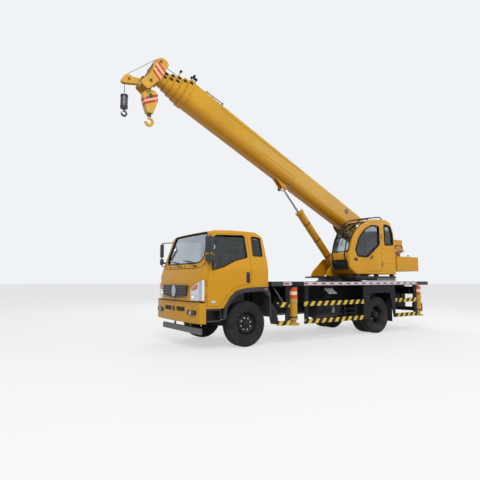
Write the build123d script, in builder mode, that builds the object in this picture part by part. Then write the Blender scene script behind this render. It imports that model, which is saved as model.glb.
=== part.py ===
from build123d import *
import os
from math import asin, cos, degrees, pi, radians, sin

# Truck-mounted telescopic crane, two axles, parked with its boom raised over the cab.
# Millimetres. +X points to the rear, +Y to the right-hand side, +Z up.
# Stations along x are measured from the front axle, and the whole crane is set down
# at the end so that its length is centred on the origin.

os.makedirs("parts", exist_ok=True)

# Overall
WHEELBASE = 4500
TAIL_X = 6880
GROUND_GAP = 0.3
MOVING_GAP = 6
PIN_FIT = 0.05

# Wheels
TYRE_R = 509
TYRE_W = 245
BEAD_R = 262
TYRE_Y = 980
TWIN_PITCH = 300
RIM_T = 12
HUB_R = 95
SPINDLE_R = 42
KINGPIN_Y = 770
KINGPIN_R = 24
KNUCKLE_H = 120

# Chassis
RAIL_Y = 395
RAIL_W = 80
RAIL_LOW = 640
RAIL_TOP = 860
RAIL_T = 10
RAIL_FRONT_X = -1080
DECK_TOP = 1450
DECK_T = 12
DECK_EDGE_LOW = 1345
DECK_HALF = 1220
DECK_FRONT_X = 590
DECK_REAR_X = TAIL_X - 50
SUBFRAME_TOP = DECK_TOP - DECK_T

# Outriggers: x of the left and right beams of each box
BEAM_W = 125
BEAM_H = 190
BEAM_Z = 1180
BEAM_T = 10
BEAM_PITCH = 160
BOX_T = 16
BOX_HALF = DECK_HALF - 220
BEAM_IN = BOX_HALF - 50
JACK_R = 100
JACK_Y = BOX_HALF + JACK_R + 18
JACK_BORE = 84
JACK_TOP = 1312
JACK_LOW = 530
LEG_R = 72
PAD_R = 145
PAD_T = 36
PAD_LOW = 410
OUTRIGGERS = (
    # name, side, beam station
    ("front_left", -1, 1350),
    ("front_right", 1, 1350 + BEAM_PITCH),
    ("rear_left", -1, 6400),
    ("rear_right", 1, 6400 - BEAM_PITCH),
)

# Truck cab
CAB_HALF = 1150
CAB_ROOF_HALF = 990
CAB_FRONT_X = -1250
CAB_WALL = 45
CAB_FLOOR_Z = 880
CAB_ROOF_Z = 2630
CAB_REAR_X = 570
ARCH_Z = 1310
CAB_REAR_FLOOR_Z = 1330
CAB_NOSE_X = -1075
CAB_NOSE_Z = 1030
CAB_NOSE_TOP_Z = 1440
CAB_SCREEN_X = -1100
CAB_SCREEN_Z = 1850
CAB_BOW_R = 9000
DOOR_FRONT_X = -1050
DOOR_REAR_X = 95
DOOR_GAP = 6
GLASS_T = 6

# Operator's cab, on the left of the boom
OP_LEFT = -1150
OP_RIGHT = -430
OP_WALL = 40
OP_FLOOR_Z = 1655
OP_DOOR_REAR_X = 4730

# Turret
SLEW_X = 4150
RING_R = 620
RING_BORE = 470
RING_TOP = 1555
PLATE_Y = 292
PLATE_T = 26
FLOOR_T = 45
TURRET_TAIL_X = TAIL_X
WEIGHT_HALF = 1000
WEIGHT_Z = (1770, 2210)
WEIGHT_X = (5630, 6730)

# Boom, in its own frame: u runs along it from the pivot, v across it, upwards
BOOM_ANGLE = 25.5
PIVOT_X = 5400
PIVOT_Z = 2600
PIVOT_R = 60
BOOM_SECTIONS = (
    # name, width, belly v, top v, wall, rear u, collar face u
    ("boom_base", 500, -65, 540, 12, -180, 7390),
    ("boom_section_2", 450, -40, 488, 9, 190, 7537),
    ("boom_section_3", 400, -16, 436, 8, 240, 7684),
    ("boom_section_4", 350, 6, 384, 7, 290, 7831),
    ("boom_section_5", 300, 28, 332, 6, 340, 7978),
)
COLLAR_L = 140
COLLAR_T = 16
EYE_U = 3678
EYE_V = -141
EYE_R = 66
EYE_PIN_R = 30
EYE_HALF = 55

# Luffing cylinder
FOOT_X = 4050
FOOT_Z = 1820
FOOT_R = 95
FOOT_HALF = 70
BARREL_R = 106
BARREL_BORE = 86
BARREL_L = 2200
GLAND_L = 80
ROD_R = 62
ROD_L = 2270
PISTON_L = 80

# Head of the boom
HEAD_HALF = 200
CHEEK_T = 20
MAIN_PIN_U = 8170
MAIN_PIN_V = -119
TOP_PIN_U = 8176
TOP_PIN_V = 445
SHEAVE_R = 130
TOP_SHEAVE_R = 105
NOSE_PIN_U = 8571
NOSE_PIN_V = -341
NOSE_SHEAVE_R = 120
SHEAVE_T = 34

# Hooks hang plumb under the head
HOOK_X = -1970
AUX_X = -2560
ROPE_R = 8

boom_dir = Vector(-cos(radians(BOOM_ANGLE)), 0, sin(radians(BOOM_ANGLE)))
boom_up = Vector(sin(radians(BOOM_ANGLE)), 0, cos(radians(BOOM_ANGLE)))
PIVOT = Vector(PIVOT_X, 0, PIVOT_Z)
EYE = PIVOT + boom_dir * EYE_U + boom_up * EYE_V
FOOT = Vector(FOOT_X, 0, FOOT_Z)
rod_dir = (EYE - FOOT).normalized()


def on_boom(u, v):
    """The point on the crane's middle plane at u and v of the boom's frame."""
    return PIVOT + boom_dir * u + boom_up * v


def rope_top(sheave, r, x):
    """Height at which a rope hanging at x leaves the underside of a sheave."""
    reach = r + ROPE_R + GROUND_GAP
    return sheave.Z - (reach**2 - (x - sheave.X) ** 2) ** 0.5


HOOK_TOP_Z = rope_top(on_boom(MAIN_PIN_U, MAIN_PIN_V), SHEAVE_R, HOOK_X)
NOSE = on_boom(NOSE_PIN_U, NOSE_PIN_V)
AUX_TOP_Z = rope_top(NOSE, NOSE_SHEAVE_R, AUX_X)
NOSE_TIP = (8700, -470)
FRONT_AXLE_X = -(on_boom(*NOSE_TIP).X + TAIL_X) / 2

FRONT = Plane(origin=(0, 0, 0), x_dir=(0, 1, 0), z_dir=(1, 0, 0))
BOOM_SIDE = Plane(origin=PIVOT, x_dir=boom_dir, z_dir=(0, 1, 0))


def boom_cross(u):
    """A plane across the boom at u: its x runs to the left, its y up the boom's v."""
    return Plane(origin=PIVOT + boom_dir * u, x_dir=(0, -1, 0), z_dir=boom_dir)


def side_plane(y):
    """A plane along the crane at y: its x runs rearwards and its y up."""
    return Plane(origin=(0, y, 0), x_dir=(1, 0, 0), z_dir=(0, -1, 0))


def save(piece, name):
    """Sets a finished piece down about the origin, labels it and writes it."""
    set_down = piece.part.moved(Location((FRONT_AXLE_X, 0, 0)))
    set_down.label = name
    export_step(set_down, f"parts/{name}.step")


def box_between(x, y, z):
    """A box from three pairs of limits, in the block that is being built."""
    with Locations(((x[0] + x[1]) / 2, (y[0] + y[1]) / 2, (z[0] + z[1]) / 2)):
        Box(x[1] - x[0], y[1] - y[0], z[1] - z[0])


def cut_between(x, y, z):
    """A box cut from the block that is being built."""
    with Locations(((x[0] + x[1]) / 2, (y[0] + y[1]) / 2, (z[0] + z[1]) / 2)):
        Box(x[1] - x[0], y[1] - y[0], z[1] - z[0], mode=Mode.SUBTRACT)


def cross_bar(x, z, r, half, mode=Mode.ADD):
    """A round bar across the crane, from -half to half."""
    with Locations(Location((x, 0, z), (90, 0, 0))):
        Cylinder(r, 2 * half, mode=mode)


def tube_between(start, end, r):
    """A round bar between two points."""
    start, end = Vector(*start), Vector(*end)
    along = end - start
    middle = Plane(origin=(start + end) / 2, z_dir=along.normalized())
    with Locations(middle.location):
        Cylinder(r, along.length)


def rounded_outline(plane, corners, inset=0):
    """A closed outline from rows of x, y and the radius that the corner is rounded to."""
    with BuildSketch(plane) as outline:
        with BuildLine():
            FilletPolyline(
                *[(x, y) for x, y, r in corners], radius=[r for x, y, r in corners], close=True
            )
        make_face()
        if inset:
            offset(amount=-inset, kind=Kind.INTERSECTION, mode=Mode.REPLACE)
    return outline.sketch


def wheel_plane(x, side, y):
    """A plane through an axle line: its x is the radius and its y runs outwards."""
    return Plane(origin=(x, side * y, TYRE_R), x_dir=(1, 0, 0), z_dir=(0, 0, side))


def axle_line(x):
    return Axis((x, 0, TYRE_R), (0, 1, 0))


def build_tyre(name, x, ys, side):
    """One tyre, or the two of a twin wheel, as rings about the axle."""
    half = TYRE_W / 2
    with BuildPart() as tyre:
        for y in ys:
            with BuildSketch(wheel_plane(x, side, y)):
                with BuildLine():
                    Polyline(
                        (BEAD_R, -half + 28),
                        (BEAD_R + 60, -half + 4),
                        (TYRE_R - 95, -half),
                        (TYRE_R - 22, -half + 14),
                        (TYRE_R, -half + 40),
                        (TYRE_R, half - 40),
                        (TYRE_R - 22, half - 14),
                        (TYRE_R - 95, half),
                        (BEAD_R + 60, half - 4),
                        (BEAD_R, half - 28),
                        close=True,
                    )
                make_face()
            revolve(axis=axle_line(x))
    save(tyre, name)


def build_rim(name, x, side, disc_y, hub_in, hub_out, rings):
    """A dished steel wheel with its hub and drum: y runs outwards from the tyre's centre."""
    well = BEAD_R - GROUND_GAP
    half = TYRE_W / 2
    bore = SPINDLE_R + PIN_FIT
    with BuildPart() as rim:
        with BuildSketch(wheel_plane(x, side, TYRE_Y)):
            for ring in rings:
                with BuildLine():
                    Polyline(
                        (well - 24, ring - half + 30),
                        (well, ring - half + 30),
                        (well, ring + half - 30),
                        (well - 12, ring + half - 30),
                        (well - 12, ring + half - 60),
                        (well - 24, ring + half - 75),
                        close=True,
                    )
                make_face()
            if len(rings) > 1:
                # A band joins the two rings of a twin wheel
                with Locations((well - 12, (min(rings) + max(rings)) / 2)):
                    Rectangle(24, TWIN_PITCH - TYRE_W + 80)
            with BuildLine():
                Polyline(
                    (bore, disc_y),
                    (150, disc_y),
                    (185, disc_y + 30),
                    (well - 12, disc_y - 30),
                    (well - 12, disc_y - 30 - 2 * RIM_T),
                    (180, disc_y + 4),
                    (155, disc_y - 16),
                    (bore, disc_y - 16),
                    close=True,
                )
            make_face()
            with BuildLine():
                Polyline(
                    (bore, hub_in),
                    (HUB_R + 110, hub_in),
                    (HUB_R + 110, disc_y - 120),
                    (HUB_R, disc_y - 60),
                    (HUB_R, hub_out),
                    (bore, hub_out),
                    close=True,
                )
            make_face()
        revolve(axis=axle_line(x))
        for turn in range(8):
            at = (
                x + 212 * cos(turn * pi / 4),
                side * (TYRE_Y + disc_y),
                TYRE_R + 212 * sin(turn * pi / 4),
            )
            with Locations(Location(at, (90, 0, 0))):
                Cylinder(20, 150, mode=Mode.SUBTRACT)
    save(rim, name)


for side, hand in ((-1, "left"), (1, "right")):
    build_tyre(f"tyre_front_{hand}", 0, (TYRE_Y,), side)
    build_tyre(f"tyre_rear_{hand}", WHEELBASE, (TYRE_Y, TYRE_Y - TWIN_PITCH), side)
    build_rim(f"rim_front_{hand}", 0, side, 70, -105, 100, (0,))
    build_rim(
        f"rim_rear_{hand}", WHEELBASE, side, -105, -265, 60, (0, -TWIN_PITCH)
    )

# Knuckles: a fork over the axle's end, its king pin and the wheel's spindle
SPINDLE_END = TYRE_Y + 78
for side, hand in ((-1, "left"), (1, "right")):
    with BuildPart() as knuckle:
        for z in (TYRE_R - KNUCKLE_H / 2 - 16, TYRE_R + KNUCKLE_H / 2 + 16):
            with Locations((0, side * KINGPIN_Y, z)):
                Cylinder(52, 28)
            with Locations((0, side * (KINGPIN_Y + 40), z)):
                Box(84, 60, 28)
        with Locations((0, side * KINGPIN_Y, TYRE_R)):
            Cylinder(KINGPIN_R, KNUCKLE_H + 40)
        with Locations((0, side * (KINGPIN_Y + 74), TYRE_R)):
            Box(104, 16, KNUCKLE_H + 60)
        spindle_l = SPINDLE_END - KINGPIN_Y - 70
        with Locations(
            Location((0, side * (SPINDLE_END - spindle_l / 2), TYRE_R), (90, 0, 0))
        ):
            Cylinder(SPINDLE_R, spindle_l)
    save(knuckle, f"knuckle_{hand}")

# Front axle: a dropped beam with a boss for each king pin, on two leaf springs
SPRING_W = 70
with BuildPart() as front_axle:
    with BuildSketch(FRONT) as beam:
        with BuildLine():
            Polyline(
                (-KINGPIN_Y + 40, TYRE_R - 50),
                (-RAIL_Y - 130, TYRE_R - 130),
                (RAIL_Y + 130, TYRE_R - 130),
                (KINGPIN_Y - 40, TYRE_R - 50),
                (KINGPIN_Y - 40, TYRE_R + 40),
                (RAIL_Y + 110, TYRE_R - 30),
                (-RAIL_Y - 110, TYRE_R - 30),
                (-KINGPIN_Y + 40, TYRE_R + 40),
                close=True,
            )
        make_face()
    extrude(amount=45, both=True)
    for side in (-1, 1):
        with Locations((0, side * KINGPIN_Y, TYRE_R)):
            Cylinder(50, KNUCKLE_H)
            Cylinder(KINGPIN_R + PIN_FIT, KNUCKLE_H + 2, mode=Mode.SUBTRACT)
        with BuildSketch(side_plane(side * RAIL_Y)) as leaves:
            with BuildLine():
                ThreePointArc((-640, RAIL_LOW - 20), (0, TYRE_R - 32), (640, RAIL_LOW - 20))
                Line((640, RAIL_LOW - 20), (640, RAIL_LOW))
                ThreePointArc((640, RAIL_LOW), (0, TYRE_R + 38), (-640, RAIL_LOW))
                Line((-640, RAIL_LOW), (-640, RAIL_LOW - 20))
            make_face()
        extrude(amount=SPRING_W / 2, both=True)
save(front_axle, "front_axle")

# Rear axle: banjo housing with its spindles, on two springs
AXLE_NOSE_X = WHEELBASE - 310
with BuildPart() as rear_axle:
    cross_bar(WHEELBASE, TYRE_R, 72, TYRE_Y - TWIN_PITCH - 165)
    cross_bar(WHEELBASE, TYRE_R, SPINDLE_R, TYRE_Y + 40)
    with Locations((WHEELBASE, 0, TYRE_R)):
        Sphere(195)
    with Locations(Location((AXLE_NOSE_X + 80, 0, TYRE_R + 20), (0, 90, 0))):
        Cone(95, 60, 160)
    for side in (-1, 1):
        with BuildSketch(side_plane(side * RAIL_Y)) as leaves:
            with BuildLine():
                a, b = (WHEELBASE - 700, RAIL_LOW - 24), (WHEELBASE + 700, RAIL_LOW - 24)
                ThreePointArc(a, (WHEELBASE, TYRE_R + 50), b)
                Line(b, (b[0], RAIL_LOW))
                ThreePointArc((b[0], RAIL_LOW), (WHEELBASE, TYRE_R + 130), (a[0], RAIL_LOW))
                Line((a[0], RAIL_LOW), a)
            make_face()
        extrude(amount=SPRING_W / 2, both=True)
save(rear_axle, "rear_axle")

# Chassis frame: two channel rails with the sub-frame on them and cross members between
SUBFRAME_SPANS = ((DECK_FRONT_X + 40, 1180), (1690, 6080), (6560, DECK_REAR_X - 60))
with BuildPart() as chassis_frame:
    rail_x = (RAIL_FRONT_X, DECK_REAR_X - 60)
    for side in (-1, 1):
        y0, y1 = sorted((side * (RAIL_Y - RAIL_W / 2), side * (RAIL_Y + RAIL_W / 2)))
        box_between(rail_x, (y0, y1), (RAIL_LOW, RAIL_TOP))
        inner = sorted((side * (RAIL_Y - RAIL_W / 2), side * (RAIL_Y + RAIL_W / 2 - RAIL_T)))
        cut_between(rail_x, inner, (RAIL_LOW + RAIL_T, RAIL_TOP - RAIL_T))
        for span in SUBFRAME_SPANS:
            box_between(span, (y0, y1), (RAIL_TOP, SUBFRAME_TOP))
    for x in (-980, 600, 1800, 2900, 3600, 5350, 6100, 6700):
        box_between(
            (x - 40, x + 40),
            (-RAIL_Y + RAIL_W / 2, RAIL_Y - RAIL_W / 2),
            (RAIL_LOW + 130, RAIL_TOP - 10),
        )
        for side in (-1, 1):
            web = sorted((side * (RAIL_Y - RAIL_W / 2), side * (RAIL_Y + RAIL_W / 2 - RAIL_T)))
            box_between((x - 40, x + 40), web, (RAIL_LOW, RAIL_TOP))
    for side in (-1, 1):
        mount = sorted((side * (RAIL_Y - RAIL_W / 2), side * (RAIL_Y + RAIL_W / 2)))
        box_between((-960, -840), mount, (RAIL_TOP, CAB_FLOOR_Z))
        box_between((470, 530), mount, (RAIL_TOP, CAB_REAR_FLOOR_Z))
save(chassis_frame, "chassis_frame")

with BuildPart() as underrun_bar:
    box_between((-1120, -1060), (-960, 960), (330, 460))
    for side in (-1, 1):
        y0, y1 = sorted((side * (RAIL_Y - 30), side * (RAIL_Y + 30)))
        box_between((-1060, -1040), (y0, y1), (330, RAIL_LOW))
save(underrun_bar, "underrun_bar")

# Deck: floor plate, folded edge and the cross ribs below it
with BuildPart() as deck:
    box_between(
        (DECK_FRONT_X, DECK_REAR_X), (-DECK_HALF, DECK_HALF), (SUBFRAME_TOP, DECK_TOP)
    )
    for side in (-1, 1):
        edge = sorted((side * (DECK_HALF - 25), side * DECK_HALF))
        box_between((DECK_FRONT_X + 30, DECK_REAR_X), edge, (DECK_EDGE_LOW, SUBFRAME_TOP))
    for x in (DECK_FRONT_X + 40, 1850, 2700, 3500, 4950, 5700, DECK_REAR_X - 60):
        box_between((x, x + 30), (-DECK_HALF, DECK_HALF), (DECK_EDGE_LOW, SUBFRAME_TOP))
    for side in (-1, 1):
        rail = sorted((side * (RAIL_Y - RAIL_W / 2), side * (RAIL_Y + RAIL_W / 2)))
        cut_between((DECK_FRONT_X, DECK_REAR_X), rail, (DECK_EDGE_LOW, SUBFRAME_TOP))
save(deck, "deck")

# Outrigger boxes: each holds two beams side by side and is open at both ends
with BuildPart() as outrigger_boxes:
    for front, rear in ((OUTRIGGERS[0], OUTRIGGERS[1]), (OUTRIGGERS[3], OUTRIGGERS[2])):
        x0 = front[2] - BEAM_W / 2 - MOVING_GAP
        x1 = rear[2] + BEAM_W / 2 + MOVING_GAP
        z0 = BEAM_Z - BEAM_H / 2 - GROUND_GAP
        z1 = BEAM_Z + BEAM_H / 2 + MOVING_GAP
        box_between(
            (x0 - BOX_T, x1 + BOX_T), (-BOX_HALF, BOX_HALF), (z0 - BOX_T, z1 + BOX_T)
        )
        for leg in (front, rear):
            half = BEAM_W / 2 + MOVING_GAP
            cut_between((leg[2] - half, leg[2] + half), (-BOX_HALF, BOX_HALF), (z0, z1))
        for side in (-1, 1):
            rib = sorted((side * (RAIL_Y - RAIL_W / 2), side * (RAIL_Y + RAIL_W / 2)))
            box_between((x0 - BOX_T, x1 + BOX_T), rib, (RAIL_TOP, z0 - BOX_T))
            box_between((x0 - BOX_T, x1 + BOX_T), rib, (z1 + BOX_T, SUBFRAME_TOP))
save(outrigger_boxes, "outrigger_boxes")

for name, side, x in OUTRIGGERS:
    # The beam slides in its box and ends in the jack's tube
    with BuildPart() as beam:
        y0, y1 = sorted((-side * BEAM_IN, side * JACK_Y))
        span = (x - BEAM_W / 2, x + BEAM_W / 2)
        box_between(span, (y0, y1), (BEAM_Z - BEAM_H / 2, BEAM_Z + BEAM_H / 2))
        cut_between(
            (span[0] + BEAM_T, span[1] - BEAM_T),
            (y0, y1),
            (BEAM_Z - BEAM_H / 2 + BEAM_T, BEAM_Z + BEAM_H / 2 - BEAM_T),
        )
        with Locations((x, side * JACK_Y, (JACK_TOP + JACK_LOW) / 2)):
            Cylinder(JACK_R, JACK_TOP - JACK_LOW)
        with Locations((x, side * JACK_Y, JACK_TOP - 12)):
            Cylinder(JACK_BORE, 24)
        with Locations((x, side * JACK_Y, (JACK_TOP - 40 + JACK_LOW) / 2)):
            Cylinder(JACK_BORE, JACK_TOP - 40 - JACK_LOW, mode=Mode.SUBTRACT)
        with Locations((x, side * JACK_Y, JACK_LOW + 30)):
            Cylinder(JACK_BORE + 2, 60)
            Cylinder(LEG_R + PIN_FIT, 62, mode=Mode.SUBTRACT)
    save(beam, f"outrigger_beam_{name}")
    with BuildPart() as leg:
        with Locations((x, side * JACK_Y, (PAD_LOW + JACK_TOP - 70) / 2)):
            Cylinder(LEG_R, JACK_TOP - 70 - PAD_LOW)
        with Locations((x, side * JACK_Y, PAD_LOW + PAD_T / 2)):
            Cylinder(PAD_R, PAD_T)
        with Locations((x, side * JACK_Y, PAD_LOW + PAD_T + 15)):
            Cone(PAD_R - 20, LEG_R + 4, 30)
    save(leg, f"jack_leg_{name}")

# Side guards: posts, striped rails, and the panels round the rear wheels
GUARD_Y = (DECK_HALF - 55, DECK_HALF - 15)
GUARD_LOW = 425
GUARD_POSTS = ((1050, 1170, 0), (1655, 1775, 1), (6090, 6230, -1))
GUARD_SPANS = ((810, 1110, 0, 0), (1715, 3830, 1, 0), (5190, 6160, 0, -1))
RAIL_LEVELS = ((GUARD_LOW, GUARD_LOW + 108), (852, 962))
with BuildPart() as side_guards:
    for side in (-1, 1):
        band = sorted((side * GUARD_Y[0], side * GUARD_Y[1]))
        shift = BEAM_PITCH if side > 0 else 0
        for x0, x1, turn in GUARD_POSTS:
            post = (x0 + turn * shift, x1 + turn * shift)
            box_between(post, band, (RAIL_LEVELS[0][0], DECK_EDGE_LOW))
        for x0, x1, turn0, turn1 in GUARD_SPANS:
            for level in RAIL_LEVELS:
                box_between((x0 + turn0 * shift, x1 + turn1 * shift), band, level)
        with BuildSketch(side_plane(side * (GUARD_Y[0] + GUARD_Y[1]) / 2)):
            with BuildLine():
                Polyline(
                    (3810, GUARD_LOW),
                    (3810, DECK_EDGE_LOW),
                    (5200, DECK_EDGE_LOW),
                    (5200, GUARD_LOW),
                    (5130, GUARD_LOW),
                    (4963, 1130),
                    (4127, 1130),
                    (3900, GUARD_LOW),
                    close=True,
                )
            make_face()
        extrude(amount=(GUARD_Y[1] - GUARD_Y[0]) / 2 - 5, both=True)
save(side_guards, "side_guards")

# Engine between the rails behind the front axle, and the tanks hung on the rails
ENGINE_REAR_X = 450
SHAFT_Z = 690
with BuildPart() as engine:
    box_between((-200, ENGINE_REAR_X), (-354.7, 354.7), (600, 1200))
save(engine, "engine")

# Propeller shaft from the engine down to the rear axle, with a joint at each end
SHAFT_FRONT = (ENGINE_REAR_X, SHAFT_Z)
SHAFT_REAR = (AXLE_NOSE_X, TYRE_R + 20)
with BuildPart() as prop_shaft:
    for (x, z), out in ((SHAFT_FRONT, 1), (SHAFT_REAR, -1)):
        for r, length in ((68, 24), (50, 70)):
            with Locations(Location((x + out * length / 2, 0, z), (0, 90, 0))):
                Cylinder(r, length)
    tube_between((SHAFT_FRONT[0] + 40, 0, SHAFT_FRONT[1]), (SHAFT_REAR[0] - 40, 0, SHAFT_REAR[1]), 42)
save(prop_shaft, "prop_shaft")

# Bar under the deck's rear end, hung from the rails, with a lamp box near each end
REAR_BAR_Z = (RAIL_LOW - 120, RAIL_LOW)
with BuildPart() as rear_bar:
    box_between((DECK_REAR_X - 60, DECK_REAR_X), (-BOX_HALF, BOX_HALF), REAR_BAR_Z)
    for side in (-1, 1):
        hanger = sorted((side * (RAIL_Y - 30), side * (RAIL_Y + 30)))
        box_between((DECK_REAR_X - 160, DECK_REAR_X - 60), hanger, REAR_BAR_Z)
        lamps = sorted((side * (BOX_HALF - 330), side * BOX_HALF))
        box_between((DECK_REAR_X - 50, DECK_REAR_X - 5), lamps, (RAIL_LOW, RAIL_LOW + 130))
save(rear_bar, "rear_bar")
with BuildPart() as tanks:
    for side, span, r in ((1, (2050, 3150), 255), (-1, (2350, 3200), 235)):
        y = side * (RAIL_Y + RAIL_W / 2 + r + 20)
        with Locations(Location(((span[0] + span[1]) / 2, y, 740), (0, 90, 0))):
            Cylinder(r, span[1] - span[0])
        strap = sorted((side * (RAIL_Y + RAIL_W / 2), y))
        for x in (span[0] + 150, span[1] - 150):
            box_between((x - 25, x + 25), strap, (700, 780))
save(tanks, "tanks")


ARCH = (
    (-65, ARCH_Z), (-325, ARCH_Z - 60), (-480, ARCH_Z - 190), (-630, CAB_FLOOR_Z + 20),
)


def cab_side(y, inset):
    """The truck cab's side outline, with the wheel arch in its lower edge."""
    corners = (
        (CAB_FRONT_X - 60, CAB_NOSE_Z, 0),
        (CAB_FRONT_X - 60, CAB_ROOF_Z + 60, 0),
        (CAB_REAR_X - 300, CAB_ROOF_Z + 20, 0),
        (CAB_REAR_X - 200, CAB_ROOF_Z - 20, 110),
        (CAB_REAR_X - 80, CAB_ROOF_Z - 140, 90),
        (CAB_REAR_X, 1900, 500),
        (CAB_REAR_X, CAB_REAR_FLOOR_Z, 0),
        (300, CAB_REAR_FLOOR_Z, 0),
        *[(x, z, 0) for x, z in ARCH],
        (-660, CAB_FLOOR_Z, 0),
        (CAB_NOSE_X, CAB_FLOOR_Z, 0),
        (CAB_NOSE_X, CAB_NOSE_Z, 0),
    )
    return rounded_outline(side_plane(y), corners, inset)


def cab_bowed_front(inset):
    """The nose, screen and roof in profile, bowed about a far plumb line."""
    corners = (
        (CAB_FRONT_X, CAB_FLOOR_Z - 100, 0),
        (CAB_FRONT_X, CAB_NOSE_TOP_Z, 260),
        (CAB_SCREEN_X, CAB_SCREEN_Z, 700),
        (CAB_FRONT_X + 370, CAB_ROOF_Z - 42, 110),
        (-70, CAB_ROOF_Z + 4, 3000),
        (CAB_REAR_X + 200, CAB_ROOF_Z - 60, 0),
        (CAB_REAR_X + 200, CAB_FLOOR_Z - 100, 0),
    )
    depth = CAB_REAR_X + 200 - CAB_FRONT_X
    turn = degrees(asin((CAB_HALF + 60) / (CAB_BOW_R - depth)))
    line = Axis((CAB_FRONT_X + CAB_BOW_R, 0, 0), (0, 0, 1))
    with BuildPart() as bowed:
        revolve(rounded_outline(side_plane(0), corners, inset), axis=line, revolution_arc=2 * turn)
    return bowed.part.rotate(line, -turn)


def cab_volume(inset):
    """The cab's outer form, or the room inside it when inset is the wall."""
    half = CAB_HALF - inset
    front = CAB_FRONT_X + inset
    top = CAB_ROOF_Z + 6 - inset
    lean = CAB_ROOF_HALF - inset
    end_view = [(half, CAB_FLOOR_Z - 50, 0), (half, 1720, 400), (lean + 28, top - 150, 150)]
    end_view.append((lean - 120, top, 150))
    plan = [(CAB_REAR_X + 50, half + 40, 0), (front + 250, half + 2, 160)]
    plan.append((front + 110, half - 66, 160))
    plan += [(front + 30, half - 270, 240), (front - 60, half - 700, 0)]
    with BuildPart() as volume:
        extrude(cab_side(0, inset), amount=half + 50, both=True)
        add(cab_bowed_front(inset), mode=Mode.INTERSECT)
        both = end_view + [(-y, z, r) for y, z, r in reversed(end_view)]
        face = rounded_outline(FRONT.offset(CAB_FRONT_X - 100), both)
        extrude(face, amount=CAB_REAR_X - CAB_FRONT_X + 200, mode=Mode.INTERSECT)
        both = plan + [(x, -y, r) for x, y, r in reversed(plan)]
        face = rounded_outline(Plane.XY.offset(CAB_FLOOR_Z - 60), both)
        extrude(face, amount=CAB_ROOF_Z, mode=Mode.INTERSECT)
    return volume.part


cab_outer = cab_volume(0)
cab_room = cab_volume(CAB_WALL)
cab_glass_outer = cab_volume(18)
cab_glass_inner = cab_volume(18 + GLASS_T)
cab_lamp_outer = cab_volume(-12)


def hinge_knuckles(x, y, levels, r, pin, reach):
    """The fixed half of a door's hinges, with pins, joined to the skin by short leaves."""
    for z in levels:
        for turn in (-1, 1):
            with Locations((x, y, z + turn * 40)):
                Cylinder(r, 38)
            leaf = sorted((x, x + reach))
            inward = sorted((y, y * (1 - 60 / abs(y))))
            box_between(leaf, inward, (z + turn * 40 - 19, z + turn * 40 + 19))
        with Locations((x, y, z)):
            Cylinder(pin, 100)


def door_knuckles(x, y, levels, r, pin, reach):
    """The moving half of a door's hinges, bored for the pins."""
    for z in levels:
        with Locations((x, y, z)):
            Cylinder(r, 40)
        leaf = sorted((x, x + reach))
        inward = sorted((y, y * (1 - 60 / abs(y))))
        box_between(leaf, inward, (z - 20, z + 20))
    for z in levels:
        with Locations((x, y, z)):
            Cylinder(pin + PIN_FIT, 60, mode=Mode.SUBTRACT)


def door_outline(y, inset):
    """The cab door's outline, whose rear lower corner follows the wheel arch."""
    corners = (
        (DOOR_FRONT_X, CAB_FLOOR_Z + CAB_WALL, 20),
        (DOOR_FRONT_X, 1560, 200),
        (-960, 1850, 200),
        (-850, CAB_ROOF_Z - 112, 60),
        (DOOR_REAR_X - 40, CAB_ROOF_Z - 75, 60),
        (DOOR_REAR_X, 1900, 200),
        (DOOR_REAR_X, ARCH_Z + 80, 30),
        (-60, ARCH_Z + 75, 200),
        (-365, ARCH_Z + 5, 200),
        (-540, ARCH_Z - 140, 150),
        (-695, CAB_FLOOR_Z + CAB_WALL, 30),
    )
    return rounded_outline(side_plane(y), corners, inset)


def door_window(y, inset):
    corners = (
        (-932, 1698, 25), (-824, 2470, 40), (-28, 2500, 50), (8, 2000, 40), (-327, 1918, 150),
        (-640, 1775, 200),
    )
    return rounded_outline(side_plane(y), corners, inset)


def quarter_window(y, inset):
    corners = ((174, 2035, 30), (174, 2490, 40), (420, 2470, 50), (445, 2035, 30))
    return rounded_outline(side_plane(y), corners, inset)


def screen_window(x, inset):
    corners = ((-990, 1860, 60), (-795, 2550, 60), (795, 2550, 60), (990, 1860, 60))
    return rounded_outline(FRONT.offset(x), corners, inset)


REACH = 400
DOOR_HINGE = (DOOR_FRONT_X + 3, CAB_HALF - 6)
DOOR_HINGE_LEVELS = (1120, 1440)
SIDE_FROM = CAB_HALF - 250
SCREEN_FROM = CAB_FRONT_X - 50
with BuildPart() as cab_shell:
    for side in (-1, 1):
        hinge_knuckles(DOOR_HINGE[0], side * DOOR_HINGE[1], DOOR_HINGE_LEVELS, 14, 8, -40)
    add(cab_outer)
    add(cab_room, mode=Mode.SUBTRACT)
    for side in (-1, 1):
        extrude(door_outline(side * SIDE_FROM, 0), amount=-side * REACH, mode=Mode.SUBTRACT)
        extrude(quarter_window(side * SIDE_FROM, 0), amount=-side * REACH, mode=Mode.SUBTRACT)
    extrude(screen_window(SCREEN_FROM, 0), amount=600, mode=Mode.SUBTRACT)
save(cab_shell, "cab_shell")

with BuildPart() as cab_glass:
    for side in (-1, 1):
        extrude(quarter_window(side * SIDE_FROM, GROUND_GAP), amount=-side * REACH)
    extrude(screen_window(SCREEN_FROM, GROUND_GAP), amount=600)
    add(cab_glass_outer, mode=Mode.INTERSECT)
    add(cab_glass_inner, mode=Mode.SUBTRACT)
save(cab_glass, "cab_glass")

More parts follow.
